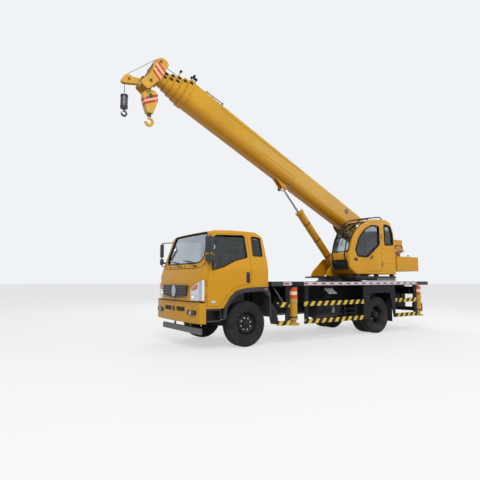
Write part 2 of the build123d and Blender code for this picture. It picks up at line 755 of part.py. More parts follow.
# The doors: the left one is cut from the cab's form and the right one mirrors it
with BuildPart() as door_left:
    extrude(door_outline(-SIDE_FROM, DOOR_GAP), amount=REACH)
    add(cab_outer, mode=Mode.INTERSECT)
    door_knuckles(DOOR_HINGE[0], -DOOR_HINGE[1], DOOR_HINGE_LEVELS, 14, 8, 40)
    add(cab_room, mode=Mode.SUBTRACT)
    extrude(door_window(-SIDE_FROM, 0), amount=REACH, mode=Mode.SUBTRACT)
save(door_left, "door_left")
with BuildPart() as door_glass_left:
    extrude(door_window(-SIDE_FROM, GROUND_GAP), amount=REACH)
    add(cab_glass_outer, mode=Mode.INTERSECT)
    add(cab_glass_inner, mode=Mode.SUBTRACT)
save(door_glass_left, "door_glass_left")
for left, name in ((door_left, "door_right"), (door_glass_left, "door_glass_right")):
    with BuildPart() as twin:
        mirror(left.part, about=Plane.XZ)
    save(twin, name)

SEAT_LOW = CAB_REAR_FLOOR_Z + CAB_WALL
with BuildPart() as cab_interior:
    for y in (-620, 0, 620):
        box_between((-260, 200), (y - 240, y + 240), (SEAT_LOW + 25, 1560))
        box_between((200, 360), (y - 240, y + 240), (SEAT_LOW, 2150))
    box_between((CAB_FRONT_X, -800), (-1060, 1060), (1420, 1640))
    with Locations(Location((-700, -620, 1700), (0, -65, 0))):
        Torus(205, 16)
        Cylinder(30, 20)
        Box(400, 30, 14)
    with Locations(Location((-745, -620, 1605), (0, -65, 0))):
        Cylinder(22, 220)
    add(cab_room, mode=Mode.INTERSECT)
save(cab_interior, "cab_interior")

# Front: grille, headlamps, bumper, mirrors and steps
with BuildPart() as grille:
    with BuildSketch(FRONT.offset(CAB_FRONT_X - 22)):
        with BuildLine():
            Polyline(
                (-630, 1370), (630, 1370), (560, 1140), (0, 1086), (-560, 1140), close=True
            )
        make_face()
    extrude(amount=60)
    add(cab_outer, mode=Mode.SUBTRACT)
save(grille, "grille")

with BuildPart() as headlamps:
    for side in (-1, 1):
        with BuildSketch(FRONT.offset(CAB_FRONT_X - 14)):
            with BuildLine():
                Polyline(
                    (side * 740, 1050),
                    (side * 740, 1300),
                    (side * 1110, 1490),
                    (side * 1130, 1380),
                    (side * 1130, 1050),
                    close=True,
                )
            make_face()
        extrude(amount=160)
    add(cab_lamp_outer, mode=Mode.INTERSECT)
    add(cab_outer, mode=Mode.SUBTRACT)
save(headlamps, "headlamps")


BUMPER_Z = (570, 1000)
BUMPER_T = 60


def bumper_plan(z, inset):
    """The bumper from above: bowed, with ends that turn rearwards to the door."""
    with BuildSketch(Plane.XY.offset(z)) as plan:
        with BuildLine():
            front, half = CAB_FRONT_X - 30 + inset, CAB_HALF + 16 - inset
            rear = CAB_NOSE_X - 10
            Line((rear, -half), (front + 80, -half + 80))
            ThreePointArc((front + 80, -half + 80), (front, 0), (front + 80, half - 80))
            Line((front + 80, half - 80), (rear, half))
            Line((rear, half), (rear, -half))
        make_face()
    return plan.sketch


with BuildPart() as bumper:
    extrude(bumper_plan(BUMPER_Z[0], 0), amount=BUMPER_Z[1] - BUMPER_Z[0])
    extrude(bumper_plan(0, BUMPER_T), amount=2 * BUMPER_Z[1], mode=Mode.SUBTRACT)
    inside = CAB_HALF + 16 - BUMPER_T
    cut_between((CAB_NOSE_X - 80, CAB_NOSE_X), (-inside, inside), (0, 2 * BUMPER_Z[1]))
    for side in (-1, 1):
        span = sorted((side * 120, side * 520))
        cut_between((CAB_FRONT_X - 100, CAB_FRONT_X + 150), span, (800, 900))
        lamp = sorted((side * 640, side * 960))
        cut_between((CAB_FRONT_X - 100, CAB_FRONT_X + 250), lamp, (740, 840))
        arm = sorted((side * (RAIL_Y + 20), side * (RAIL_Y + RAIL_W / 2)))
        box_between((CAB_FRONT_X + 20, RAIL_FRONT_X), arm, (650, 840))
save(bumper, "bumper")

MIRROR_X = -1095
MIRROR_Y = 1300
MIRROR_GLASSES = ((2070, 2410), (1880, 2030))
MIRROR_ARMS = ((1850, -990, 1010), (2440, -850, 900))
with BuildPart() as mirrors:
    for side in (-1, 1):
        y0, y1 = sorted((side * (MIRROR_Y - 90), side * (MIRROR_Y + 50)))
        for glass in MIRROR_GLASSES:
            box_between((MIRROR_X - 45, MIRROR_X + 35), (y0, y1), glass)
        low, high = MIRROR_ARMS[0][0], MIRROR_ARMS[-1][0]
        post = sorted((side * (MIRROR_Y - 12), side * (MIRROR_Y + 12)))
        box_between((MIRROR_X - 12, MIRROR_X + 12), post, (low - 12, high + 12))
        for z, x, y in MIRROR_ARMS:
            tube_between((MIRROR_X, side * MIRROR_Y, z), (x, side * y, z), 12)
    add(cab_outer, mode=Mode.SUBTRACT)
save(mirrors, "mirrors")

with BuildPart() as cab_steps:
    for side in (-1, 1):
        y0, y1 = sorted((side * 900, side * (CAB_HALF - 20)))
        box_between((DOOR_FRONT_X, -690), (y0, y1), (600, 630))
        box_between((DOOR_FRONT_X, -690), (y0, y1), (CAB_FLOOR_Z - 40, CAB_FLOOR_Z))
        box_between((DOOR_FRONT_X, -690), sorted((side * 900, side * 930)), (600, CAB_FLOOR_Z))
        box_between((-715, -690), (y0, y1), (600, CAB_FLOOR_Z))
        arm = sorted((side * (RAIL_Y + RAIL_W / 2), side * 910))
        box_between((-960, -900), arm, (700, 760))
        # Mudguard round the front wheel, close under the cab's arch
        with BuildSketch(side_plane(side * 1020)):
            with BuildLine():
                Polyline(
                    (300, CAB_REAR_FLOOR_Z), (545, CAB_REAR_FLOOR_Z), (620, 1160), (640, 640),
                    (608, 640), (590, 1140), (520, 1295), (290, 1290), (-60, 1275),
                    (-308, 1218), (-452, 1098), (-598, 892), (-616, 640), (-650, 640),
                    *reversed(ARCH), close=True,
                )
            make_face()
        extrude(amount=150, both=True)
save(cab_steps, "cab_steps")

# Slewing ring and turret
with BuildPart() as slew_ring:
    with Locations((SLEW_X, 0, (DECK_TOP + GROUND_GAP + RING_TOP) / 2)):
        Cylinder(RING_R, RING_TOP - DECK_TOP - GROUND_GAP)
        Cylinder(RING_BORE, 2 * RING_TOP, mode=Mode.SUBTRACT)
save(slew_ring, "slew_ring")


TURRET_PLATE = (
    (3380, RING_TOP, 0), (3300, RING_TOP + 60, 30), (3380, 1760, 80), (3800, 2120, 200),
    (4500, 2200, 200), (PIVOT_X - 230, PIVOT_Z + 60, 200), (PIVOT_X - 110, PIVOT_Z + 190, 90),
    (PIVOT_X + 110, PIVOT_Z + 190, 90), (5900, PIVOT_Z + 60, 150), (6400, 2820, 150),
    (TURRET_TAIL_X, 2820, 20), (TURRET_TAIL_X, 2660, 40), (WEIGHT_X[1] + 30, 2420, 60),
    (WEIGHT_X[1] + 30, WEIGHT_Z[1] + 0.3, 0), (WEIGHT_X[0] - 5, WEIGHT_Z[1] + 0.3, 0),
    (WEIGHT_X[0] - 5, WEIGHT_Z[0], 100), (4900, RING_TOP, 0),
)


with BuildPart() as turret_frame:
    for side in (-1, 1):
        plate = rounded_outline(side_plane(side * (PLATE_Y + PLATE_T / 2)), TURRET_PLATE)
        extrude(plate, amount=PLATE_T / 2, both=True)
    box_between((3380, 4900), (-650, 650), (RING_TOP, RING_TOP + FLOOR_T))
    box_between((3600, 5370), (OP_LEFT + 20, -PLATE_Y), (RING_TOP, RING_TOP + FLOOR_T))
    with Locations((SLEW_X, 0, RING_TOP)):
        Cylinder(420, 4 * FLOOR_T, mode=Mode.SUBTRACT)
    cut_between((3520, SLEW_X), (-170, 170), (RING_TOP - 10, RING_TOP + 4 * FLOOR_T))
    for x in (3750, 5250):
        for y in (OP_LEFT + 80, OP_RIGHT - 80):
            box_between((x - 50, x + 50), (y - 50, y + 50), (RING_TOP + FLOOR_T, OP_FLOOR_Z))
    for x0, x1, z0, z1 in ((4880, 4910, RING_TOP, 2100), (5598, 5622, 1800, 2350)):
        box_between((x0, x1), (-PLATE_Y - 5, PLATE_Y + 5), (z0, z1))
    box_between((6480, TURRET_TAIL_X), (-PLATE_Y - 5, PLATE_Y + 5), (2790, 2820))
    cross_bar(PIVOT_X, PIVOT_Z, PIVOT_R, PLATE_Y + PLATE_T + 25)
    for side in (-1, 1):
        y0, y1 = sorted((side * (FOOT_HALF + 5), side * (PLATE_Y + 5)))
        with Locations(Location((FOOT_X, (y0 + y1) / 2, FOOT_Z), (90, 0, 0))):
            Cylinder(40, y1 - y0)
save(turret_frame, "turret_frame")

with BuildPart() as counterweight:
    box_between(WEIGHT_X, (-WEIGHT_HALF, WEIGHT_HALF), WEIGHT_Z)
    fillet(counterweight.edges().filter_by(Axis.Z), 40)
save(counterweight, "counterweight")

WINCHES = ((6240, 2440, 170), (6620, 2440, 150))
with BuildPart() as winches:
    for x, z, r in WINCHES:
        cross_bar(x, z, r * 0.75, PLATE_Y - 20)
        cross_bar(x, z, 60, PLATE_Y)
        for y in (-PLATE_Y + 30, PLATE_Y - 30):
            with Locations(Location((x, y, z), (90, 0, 0))):
                Cylinder(r, 16)
save(winches, "winches")


OP_SIDE = (
    (3630, OP_FLOOR_Z, 50), (5370, OP_FLOOR_Z, 50), (5345, 2520, 900), (5290, 2900, 400),
    (5150, 3190, 120), (4930, 3262, 300), (4400, 3235, 700), (4020, 3105, 600),
    (3670, 2865, 600), (3490, 2570, 600), (3400, 2290, 120), (3342, 2190, 50),
    (3342, 2080, 50), (3390, 1810, 200),
)
OP_EDGE_R = 34


def op_volume(inset):
    """The operator's cab, rounded along its side edges, or the room inside it."""
    width = OP_RIGHT - OP_LEFT - 2 * inset
    with BuildPart() as volume:
        outline = rounded_outline(side_plane((OP_LEFT + OP_RIGHT) / 2), OP_SIDE, inset)
        extrude(outline, amount=width / 2, both=True)
        if not inset:
            sides = volume.faces().filter_by(Axis.Y)
            fillet(sides.edges(), OP_EDGE_R)
    return volume.part


def op_shape(points, y, inset):
    return rounded_outline(side_plane(y), points, inset)


OP_WINDOW = (
    (3606, 2325, 60), (3743, 2657, 400), (4009, 2918, 400), (4321, 3043, 300), (4600, 3035, 60),
    (4612, 2516, 80), (4085, 2138, 200), (3683, 2159, 60),
)
OP_QUARTER = (
    (4849, 3110, 50), (5120, 3060, 90), (5200, 2860, 150), (5240, 2534, 50), (4866, 2514, 50),
)
OP_DOOR = (
    (3520, 1800, 60), (3450, 2080, 80), (3460, 2200, 80), (3540, 2470, 500), (3720, 2800, 400),
    (4040, 3030, 400), (4400, 3150, 400), (OP_DOOR_REAR_X, 3170, 30), (OP_DOOR_REAR_X, 1760, 30),
    (3640, 1745, 60),
)
OP_HINGE = (OP_DOOR_REAR_X - 3, OP_LEFT - 12)
OP_HINGE_LEVELS = (1950, 2750)
op_outer = op_volume(0)
op_room = op_volume(OP_WALL)
OP_SCREEN_Y = (OP_LEFT + 90, OP_RIGHT - 70)


def op_screen(inset):
    """The curved front screen and the small window below it, as two cutting blocks."""
    with BuildPart() as block:
        y = (OP_SCREEN_Y[0] + inset, OP_SCREEN_Y[1] - inset)
        box_between((3300, 4150 - inset), y, (2250 + inset, 3400))
        cut_between((3300 + 560, 4400), y, (2000, 2750))
        box_between((3300, 3480), y, (1790 + inset, 2040 - inset))
    return block.part


op_screen_cut = op_screen(0)
op_screen_pane = op_screen(GROUND_GAP)
op_glass_outer = op_volume(16)
op_glass_inner = op_volume(16 + GLASS_T)
with BuildPart() as operator_cab:
    hinge_knuckles(*OP_HINGE, OP_HINGE_LEVELS, 11, 6, 40)
    add(op_outer)
    add(op_room, mode=Mode.SUBTRACT)
    add(op_screen_cut, mode=Mode.SUBTRACT)
    extrude(op_shape(OP_QUARTER, OP_LEFT - 50, 0), amount=-150, mode=Mode.SUBTRACT)
    extrude(op_shape(OP_DOOR, OP_LEFT - 50, 0), amount=-150, mode=Mode.SUBTRACT)
    extrude(op_shape(OP_WINDOW, OP_RIGHT + 50, 0), amount=150, mode=Mode.SUBTRACT)
save(operator_cab, "operator_cab")

with BuildPart() as operator_cab_glass:
    add(op_screen_pane)
    extrude(op_shape(OP_QUARTER, OP_LEFT - 50, GROUND_GAP), amount=-150)
    extrude(op_shape(OP_WINDOW, OP_RIGHT + 50, GROUND_GAP), amount=150)
    add(op_glass_outer, mode=Mode.INTERSECT)
    add(op_glass_inner, mode=Mode.SUBTRACT)
save(operator_cab_glass, "operator_cab_glass")

with BuildPart() as operator_seat:
    mid = (OP_LEFT + OP_RIGHT) / 2
    box_between((4350, 4850), (mid - 230, mid + 230), (2000, 2120))
    box_between((4780, 4900), (mid - 230, mid + 230), (2120, 2750))
    box_between((4450, 4750), (mid - 150, mid + 150), (OP_FLOOR_Z + OP_WALL, 2000))
save(operator_seat, "operator_seat")

with BuildPart() as operator_door:
    extrude(op_shape(OP_DOOR, OP_LEFT - 50, DOOR_GAP), amount=-150)
    add(op_outer, mode=Mode.INTERSECT)
    door_knuckles(*OP_HINGE, OP_HINGE_LEVELS, 11, 6, -40)
    add(op_room, mode=Mode.SUBTRACT)
    extrude(op_shape(OP_WINDOW, OP_LEFT - 50, 0), amount=-150, mode=Mode.SUBTRACT)
save(operator_door, "operator_door")
with BuildPart() as operator_door_glass:
    extrude(op_shape(OP_WINDOW, OP_LEFT - 50, GROUND_GAP), amount=-150)
    add(op_glass_outer, mode=Mode.INTERSECT)
    add(op_glass_inner, mode=Mode.SUBTRACT)
save(operator_door_glass, "operator_door_glass")


def boom_section(u, width, belly, top, inset):
    """The boom's section: flat sides and top, rounded below."""
    with BuildSketch(boom_cross(u)) as section:
        with BuildLine():
            half = width / 2 - inset
            low, high = belly + inset, top - inset
            bend = half * 0.8
            Polyline((-half, low + bend), (-half, high), (half, high), (half, low + bend))
            RadiusArc((half, low + bend), (half - bend, low), bend)
            Line((half - bend, low), (-half + bend, low))
            RadiusArc((-half + bend, low), (-half, low + bend), bend)
        make_face()
    return section.sketch


DOUBLER = (
    (-160, -150, 120), (1100, -120, 200), (1500, 60, 120), (1100, 240, 200), (-160, 240, 120),
)
LUG = (
    (4116, 120, 10), (4116, -48, 60), (3790, -190, 120), (3645, -225, 90), (3559, -110, 60),
    (3435, 120, 10),
)


WEAR_PAD_L = 100
for number, (name, width, belly, top, wall, rear, face) in enumerate(BOOM_SECTIONS):
    with BuildPart() as tube:
        extrude(boom_section(rear, width, belly, top, 0), amount=face - rear)
        extrude(boom_section(face - COLLAR_L, width, belly, top, -COLLAR_T), amount=COLLAR_L)
        if number == 0:
            for side in (-1, 1):
                lug = rounded_outline(BOOM_SIDE.offset(side * (EYE_HALF + 22)), LUG)
                extrude(lug, amount=14, both=True)
                doubler = rounded_outline(BOOM_SIDE.offset(side * width / 2), DOUBLER)
                extrude(doubler, amount=side * 8)
        hollow = face - rear
        if number + 1 < len(BOOM_SECTIONS):
            # Wear pads at the mouth close on the section that slides in it
            hollow -= WEAR_PAD_L
            inner = BOOM_SECTIONS[number + 1]
            mouth = boom_section(face - 2 * WEAR_PAD_L, inner[1], inner[2], inner[3], -GROUND_GAP)
            extrude(mouth, amount=3 * WEAR_PAD_L, mode=Mode.SUBTRACT)
        extrude(boom_section(rear, width, belly, top, wall), amount=hollow, mode=Mode.SUBTRACT)
        if number == 0:
            with Locations(Location(tuple(EYE), (90, 0, 0))):
                Cylinder(EYE_PIN_R, 2 * (EYE_HALF + 50))
            with Locations(Location(tuple(PIVOT), (90, 0, 0))):
                Cylinder(110, width + 20)
                Cylinder(PIVOT_R + PIN_FIT, width + 40, mode=Mode.SUBTRACT)
    save(tube, name)

# Head: two cheeks with the main sheaves low down, the rope sheave on top and the nose
HEAD_CHEEK = (
    (7980, 45, 8), (8016, 10, 30), (8087, -201, 90), (8130, -345, 60), (8367, -290, 70),
    (8285, -81, 120), (8261, 34, 80), (8261, 223, 60), (8313, 286, 25), (8271, 465, 60),
    (8190, 560, 50), (8080, 570, 50), (7985, 515, 40),
)
NOSE_CHEEK = (
    (8340, -150, 30), (8480, -215, 60), (8690, -330, 50), (*NOSE_TIP, 30),
    (8640, -500, 40), (8370, -320, 40),
)
with BuildPart() as boom_head:
    for side in (-1, 1):
        for outline, y in ((HEAD_CHEEK, HEAD_HALF - CHEEK_T / 2), (NOSE_CHEEK, 45)):
            cheek = rounded_outline(BOOM_SIDE.offset(side * y), outline)
            extrude(cheek, amount=CHEEK_T / 2, both=True)
    with BuildSketch(boom_cross(7978 + GROUND_GAP)):
        with Locations((0, 180)):
            Rectangle(2 * HEAD_HALF, 330)
    extrude(amount=20)
    pins = (
        (MAIN_PIN_U, MAIN_PIN_V, HEAD_HALF + 15),
        (TOP_PIN_U, TOP_PIN_V, HEAD_HALF + 15),
        (8350, -180, HEAD_HALF + 5),
        (NOSE_PIN_U, NOSE_PIN_V, 75),
    )
    for u, v, half in pins:
        at = on_boom(u, v)
        cross_bar(at.X, at.Z, 28, half)
    wheels = (
        (MAIN_PIN_U, MAIN_PIN_V, SHEAVE_R, (-120, -60, 0, 60, 120)),
        (TOP_PIN_U, TOP_PIN_V, TOP_SHEAVE_R, (-60, 60)),
        (NOSE_PIN_U, NOSE_PIN_V, NOSE_SHEAVE_R, (0,)),
    )
    for u, v, r, ys in wheels:
        at = on_boom(u, v)
        for y in ys:
            with Locations(Location((at.X, y, at.Z), (90, 0, 0))):
                Cylinder(r, SHEAVE_T)
save(boom_head, "boom_head")

# Luffing cylinder
rod_plane = Plane(origin=EYE, x_dir=(0, 1, 0), z_dir=-rod_dir)
with BuildPart() as luff_rod:
    with BuildSketch(rod_plane.offset(EYE_R / 2)):
        Circle(ROD_R)
    extrude(amount=ROD_L - EYE_R / 2)
    with BuildSketch(rod_plane.offset(ROD_L - PISTON_L)):
        Circle(BARREL_BORE - PIN_FIT)
    extrude(amount=PISTON_L)
    with Locations(Location(tuple(EYE), (90, 0, 0))):
        Cylinder(EYE_R, 2 * EYE_HALF)
    with Locations(Location(tuple(EYE), (90, 0, 0))):
        Cylinder(EYE_PIN_R + PIN_FIT, 4 * EYE_HALF, mode=Mode.SUBTRACT)
save(luff_rod, "luff_rod")

foot_plane = Plane(origin=FOOT, x_dir=(0, 1, 0), z_dir=rod_dir)
BARREL_FROM = 140
with BuildPart() as luff_barrel:
    with BuildSketch(foot_plane.offset(BARREL_FROM)):
        Circle(BARREL_R)
    extrude(amount=BARREL_L - BARREL_FROM)
    with BuildSketch(foot_plane.offset(BARREL_FROM + 30)):
        Circle(BARREL_BORE)
    extrude(amount=BARREL_L - BARREL_FROM - 30 - GLAND_L, mode=Mode.SUBTRACT)
    with BuildSketch(foot_plane.offset(BARREL_L - GLAND_L - 1)):
        Circle(ROD_R + PIN_FIT)
    extrude(amount=GLAND_L + 2, mode=Mode.SUBTRACT)
    with BuildSketch(foot_plane.offset(BARREL_L - GLAND_L)):
        Circle(BARREL_R + 14)
        Circle(BARREL_R - 2, mode=Mode.SUBTRACT)
    extrude(amount=GLAND_L)
    with BuildSketch(foot_plane.offset(20)):
        Rectangle(2 * FOOT_HALF, 150)
    extrude(amount=BARREL_FROM)
    with Locations(Location(tuple(FOOT), (90, 0, 0))):
        Cylinder(FOOT_R, 2 * FOOT_HALF)
        Cylinder(41, 3 * FOOT_HALF, mode=Mode.SUBTRACT)
save(luff_barrel, "luff_barrel")

# Hook blocks, hung on the ropes' last fall
def hook_bow(x, z, r):
    """A hook's bow from the side: round, open to the front and thickest below."""
    with BuildSketch(side_plane(0)) as outline:
        with Locations((x + r * 0.04, z)):
            Circle(r)
        with Locations((x, z + r * 0.12)):
            Circle(r * 0.52, mode=Mode.SUBTRACT)
        with BuildLine():
            Polyline(
                (x, z + r * 0.12), (x - r * 1.3, z + r * 0.02), (x - r * 1.3, z + r * 1.2),
                (x - r * 0.3, z + r * 1.2), (x - r * 0.22, z + r * 0.5), close=True,
            )
        make_face(mode=Mode.SUBTRACT)
    return outline.sketch


with BuildPart() as hook_block:
    with BuildSketch(side_plane(0)) as body:
        with BuildLine():
            Polyline(
                (HOOK_X - 95, 5847), (HOOK_X + 95, 5847), (HOOK_X + 175, 5760),
                (HOOK_X + 175, 5620), (HOOK_X + 70, 5300), (HOOK_X - 70, 5300),
                (HOOK_X - 175, 5620), (HOOK_X - 175, 5760), close=True,
            )
        make_face()
    extrude(amount=85, both=True)
    with Locations((HOOK_X, 0, 5280)):
        Cylinder(42, 60)
    with Locations((HOOK_X, 0, 5225)):
        Cylinder(26, 80)
    extrude(hook_bow(HOOK_X, 5105, 108), amount=24, both=True)
    for y in (-60, 0, 60):
        with Locations((HOOK_X, y, (HOOK_TOP_Z + 5840) / 2)):
            Cylinder(ROPE_R, HOOK_TOP_Z - 5840)
        with Locations((HOOK_X, y, HOOK_TOP_Z)):
            Sphere(ROPE_R)
save(hook_block, "hook_block")

with BuildPart() as aux_hook:
    with Locations((AUX_X, 0, 5445)):
        Cylinder(82, 310)
    with Locations((AUX_X, 0, 5262)):
        Cylinder(26, 70)
    extrude(hook_bow(AUX_X, 5172, 72), amount=17, both=True)
    with Locations((AUX_X, 0, (5595 + AUX_TOP_Z) / 2)):
        Cylinder(ROPE_R, AUX_TOP_Z - 5595)
    with Locations((AUX_X, 0, AUX_TOP_Z)):
        Sphere(ROPE_R)
save(aux_hook, "aux_hook")
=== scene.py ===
import math
from math import cos, pi, radians, sin

import bpy
from mathutils import Matrix, Vector


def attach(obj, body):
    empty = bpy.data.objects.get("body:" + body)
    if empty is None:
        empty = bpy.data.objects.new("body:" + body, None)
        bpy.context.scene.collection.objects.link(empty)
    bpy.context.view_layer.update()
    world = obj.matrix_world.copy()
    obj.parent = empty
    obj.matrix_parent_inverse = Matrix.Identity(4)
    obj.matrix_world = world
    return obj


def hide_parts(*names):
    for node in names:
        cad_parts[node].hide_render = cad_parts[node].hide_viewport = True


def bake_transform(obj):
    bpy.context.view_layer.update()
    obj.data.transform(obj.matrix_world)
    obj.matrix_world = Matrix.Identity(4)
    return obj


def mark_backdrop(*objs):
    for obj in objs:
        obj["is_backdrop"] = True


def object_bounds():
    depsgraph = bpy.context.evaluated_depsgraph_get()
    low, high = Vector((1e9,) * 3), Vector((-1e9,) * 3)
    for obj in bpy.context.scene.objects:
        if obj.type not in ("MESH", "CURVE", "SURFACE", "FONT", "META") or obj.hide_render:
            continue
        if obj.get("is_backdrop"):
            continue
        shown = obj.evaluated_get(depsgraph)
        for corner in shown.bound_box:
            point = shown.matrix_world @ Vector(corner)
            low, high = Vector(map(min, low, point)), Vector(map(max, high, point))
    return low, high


# A two-axle truck crane. Metres; +X to the rear, +Y to its right, +Z up.
# Places are given with x from the front axle and are moved by AXLE_X into the frame.

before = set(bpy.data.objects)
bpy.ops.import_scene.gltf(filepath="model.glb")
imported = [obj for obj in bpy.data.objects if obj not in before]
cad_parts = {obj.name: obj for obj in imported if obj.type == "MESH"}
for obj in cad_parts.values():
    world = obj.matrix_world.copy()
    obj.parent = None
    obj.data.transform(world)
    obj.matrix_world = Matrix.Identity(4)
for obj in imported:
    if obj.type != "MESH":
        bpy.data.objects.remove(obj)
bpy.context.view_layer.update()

AXLE_X = -2.112584
WHEELBASE = 4.5
TYRE_R = 0.509
TYRE_Y = 0.98
TWIN_PITCH = 0.30
CAB_HALF = 1.15
BOOM_TILT = radians(25.5)
PIVOT = (5.4, 2.6)


def place(x, y, z):
    """A point in the frame, from x behind the front axle."""
    return Vector((x + AXLE_X, y, z))


def on_boom(u, y, v):
    """A point at u along the boom and v across it."""
    x = PIVOT[0] - u * cos(BOOM_TILT) + v * sin(BOOM_TILT)
    z = PIVOT[1] + u * sin(BOOM_TILT) + v * cos(BOOM_TILT)
    return place(x, y, z)


# Finishes


def start_finish(name, roughness=0.5, metallic=0.0, coat=0.0, specular=0.5):
    material = bpy.data.materials.new(name)
    material.use_nodes = True
    tree = material.node_tree
    shader = tree.nodes["Principled BSDF"]
    shader.inputs["Roughness"].default_value = roughness
    shader.inputs["Metallic"].default_value = metallic
    shader.inputs["Coat Weight"].default_value = coat
    shader.inputs["Coat Roughness"].default_value = 0.08
    shader.inputs["Specular IOR Level"].default_value = specular
    return material, tree, shader


def put(tree, value, socket):
    """Links a node's output to a socket, or writes a plain value in it."""
    if isinstance(value, bpy.types.NodeSocket):
        tree.links.new(value, socket)
    elif isinstance(value, (tuple, list)) and len(value) == 3 and socket.type == "RGBA":
        socket.default_value = (*value, 1)
    else:
        socket.default_value = value


def where(tree):
    return tree.nodes.new("ShaderNodeTexCoord").outputs["Object"]


def shifted(tree, offset, scale=(1, 1, 1)):
    """Object coordinates, centred on a point and stretched."""
    mapping = tree.nodes.new("ShaderNodeMapping")
    mapping.vector_type = "POINT"
    tree.links.new(where(tree), mapping.inputs["Vector"])
    mapping.inputs["Location"].default_value = [-o * s for o, s in zip(offset, scale)]
    mapping.inputs["Scale"].default_value = scale
    return mapping.outputs["Vector"]


def speckle(tree, scale, detail=3.0, vector=None, rough=0.5):
    noise = tree.nodes.new("ShaderNodeTexNoise")
    tree.links.new(vector or where(tree), noise.inputs["Vector"])
    noise.inputs["Scale"].default_value = scale
    noise.inputs["Detail"].default_value = detail
    noise.inputs["Roughness"].default_value = rough
    return noise.outputs["Fac"]


def sums(tree, kind, a, b=0.0, c=0.0):
    node = tree.nodes.new("ShaderNodeMath")
    node.operation = kind
    for value, socket in zip((a, b, c), node.inputs):
        put(tree, value, socket)
    return node.outputs[0]


def along(tree, direction, origin=(0, 0, 0)):
    """Distance from a point along a direction, over the piece."""
    node = tree.nodes.new("ShaderNodeVectorMath")
    node.operation = "DOT_PRODUCT"
    tree.links.new(shifted(tree, origin), node.inputs[0])
    node.inputs[1].default_value = direction
    return node.outputs["Value"]


def step(tree, value, low, high):
    """Rises from 0 to 1 as the value goes from low to high."""
    node = tree.nodes.new("ShaderNodeMapRange")
    node.clamp = True
    put(tree, value, node.inputs["Value"])
    node.inputs["From Min"].default_value = low
    node.inputs["From Max"].default_value = high
    return node.outputs["Result"]


def between(tree, value, low, high, edge=0.001):
    return sums(
        tree, "MULTIPLY", step(tree, value, low, low + edge), step(tree, value, high, high - edge)
    )


def blend_colour(tree, share, a, b):
    node = tree.nodes.new("ShaderNodeMix")
    node.data_type = "RGBA"
    put(tree, share, node.inputs[0])
    put(tree, a, node.inputs[6])
    put(tree, b, node.inputs[7])
    return node.outputs[2]


def raise_surface(tree, shader, height, strength, depth):
    node = tree.nodes.new("ShaderNodeBump")
    node.inputs["Strength"].default_value = strength
    node.inputs["Distance"].default_value = depth
    tree.links.new(height, node.inputs["Height"])
    tree.links.new(node.outputs["Normal"], shader.inputs["Normal"])


DUST = (0.30, 0.25, 0.19)


def dusted(tree, colour, amount, top=1.3):
    """Road dust that thins out upwards, in patches."""
    low = step(tree, along(tree, (0, 0, 1)), top, 0.1)
    patches = step(tree, speckle(tree, 3.0, 5.0), 0.35, 0.75)
    share = sums(tree, "MULTIPLY", sums(tree, "MULTIPLY", low, patches), amount)
    return blend_colour(tree, share, colour, DUST)


def paint(name, colour, faded, roughness=0.45, coat=0.12, dust=0.12, peel=0.025):
    """Sprayed enamel: slow drifts of tone, fine orange peel and road dust low down."""
    bright = max(colour) > 0.03
    material, tree, shader = start_finish(
        name, roughness, coat=coat if bright else 0.0, specular=0.22 if bright else 0.10
    )
    drift = step(tree, speckle(tree, 0.9, 4.0), 0.3, 0.7)
    tone = blend_colour(tree, drift, colour, faded)
    streaks = speckle(tree, 1.0, 4.0, shifted(tree, (0, 0, 0), (9, 9, 0.7)))
    tone = blend_colour(
        tree, sums(tree, "MULTIPLY", step(tree, streaks, 0.55, 0.8), 0.14), tone,
        tuple(c * 0.72 for c in colour),
    )
    put(tree, dusted(tree, tone, dust), shader.inputs["Base Color"])
    wear = speckle(tree, 14.0, 4.0)
    put(
        tree, sums(tree, "MULTIPLY_ADD", wear, 0.16, roughness - 0.08),
        shader.inputs["Roughness"],
    )
    raise_surface(tree, shader, speckle(tree, 160.0, 2.0), peel, 0.002)
    return material, tree, shader, tone


BOOM_ALONG = (-cos(BOOM_TILT), 0, sin(BOOM_TILT))
BOOM_ACROSS = (sin(BOOM_TILT), 0, cos(BOOM_TILT))
PIVOT_POINT = tuple(place(PIVOT[0], 0, PIVOT[1]))
YELLOW = (0.60, 0.290, 0.006)
FADED_YELLOW = (0.52, 0.245, 0.005)
yellow_paint = paint("cab yellow", YELLOW, FADED_YELLOW)[0]


def boom_enamel_with_painted_belly_shade():
    """A warmer, deeper tone round the boom's belly: painted shade and painted warm reflected light on its rounded
    underside.
    """
    material, tree, shader, tone = paint(
        "boom yellow with painted belly shade and reflection", (0.57, 0.305, 0.016), (0.49, 0.262, 0.013), 0.45, 0.2, 0.0
    )
    # painted shade and painted reflection: below v 0.24 the boom is blended towards a deeper, warmer orange
    low = step(tree, along(tree, BOOM_ACROSS, PIVOT_POINT), 0.24, 0.02)
    share = sums(tree, "MULTIPLY", low, 0.7)
    put(tree, blend_colour(tree, share, tone, (0.50, 0.205, 0.004)), shader.inputs["Base Color"])
    return material


boom_paint_with_painted_belly_shade = boom_enamel_with_painted_belly_shade()
black_paint = paint(
    "chassis black", (0.010, 0.011, 0.014), (0.018, 0.018, 0.021), 0.5, 0.1, 0.12
)[0]
rim_paint = paint("rim black", (0.010, 0.010, 0.011), (0.020, 0.019, 0.018), 0.45, 0.1, 0.12)[0]
grey_paint = paint("bar grey", (0.12, 0.125, 0.13), (0.17, 0.175, 0.18), 0.5, 0.1, 0.25)[0]
dark_paint = paint("slat grey", (0.05, 0.05, 0.055), (0.08, 0.08, 0.085), 0.4, 0.2, 0.0)[0]
brass_paint = paint("winch brass", (0.55, 0.33, 0.10), (0.42, 0.24, 0.07), 0.4, 0.2, 0.0)[0]


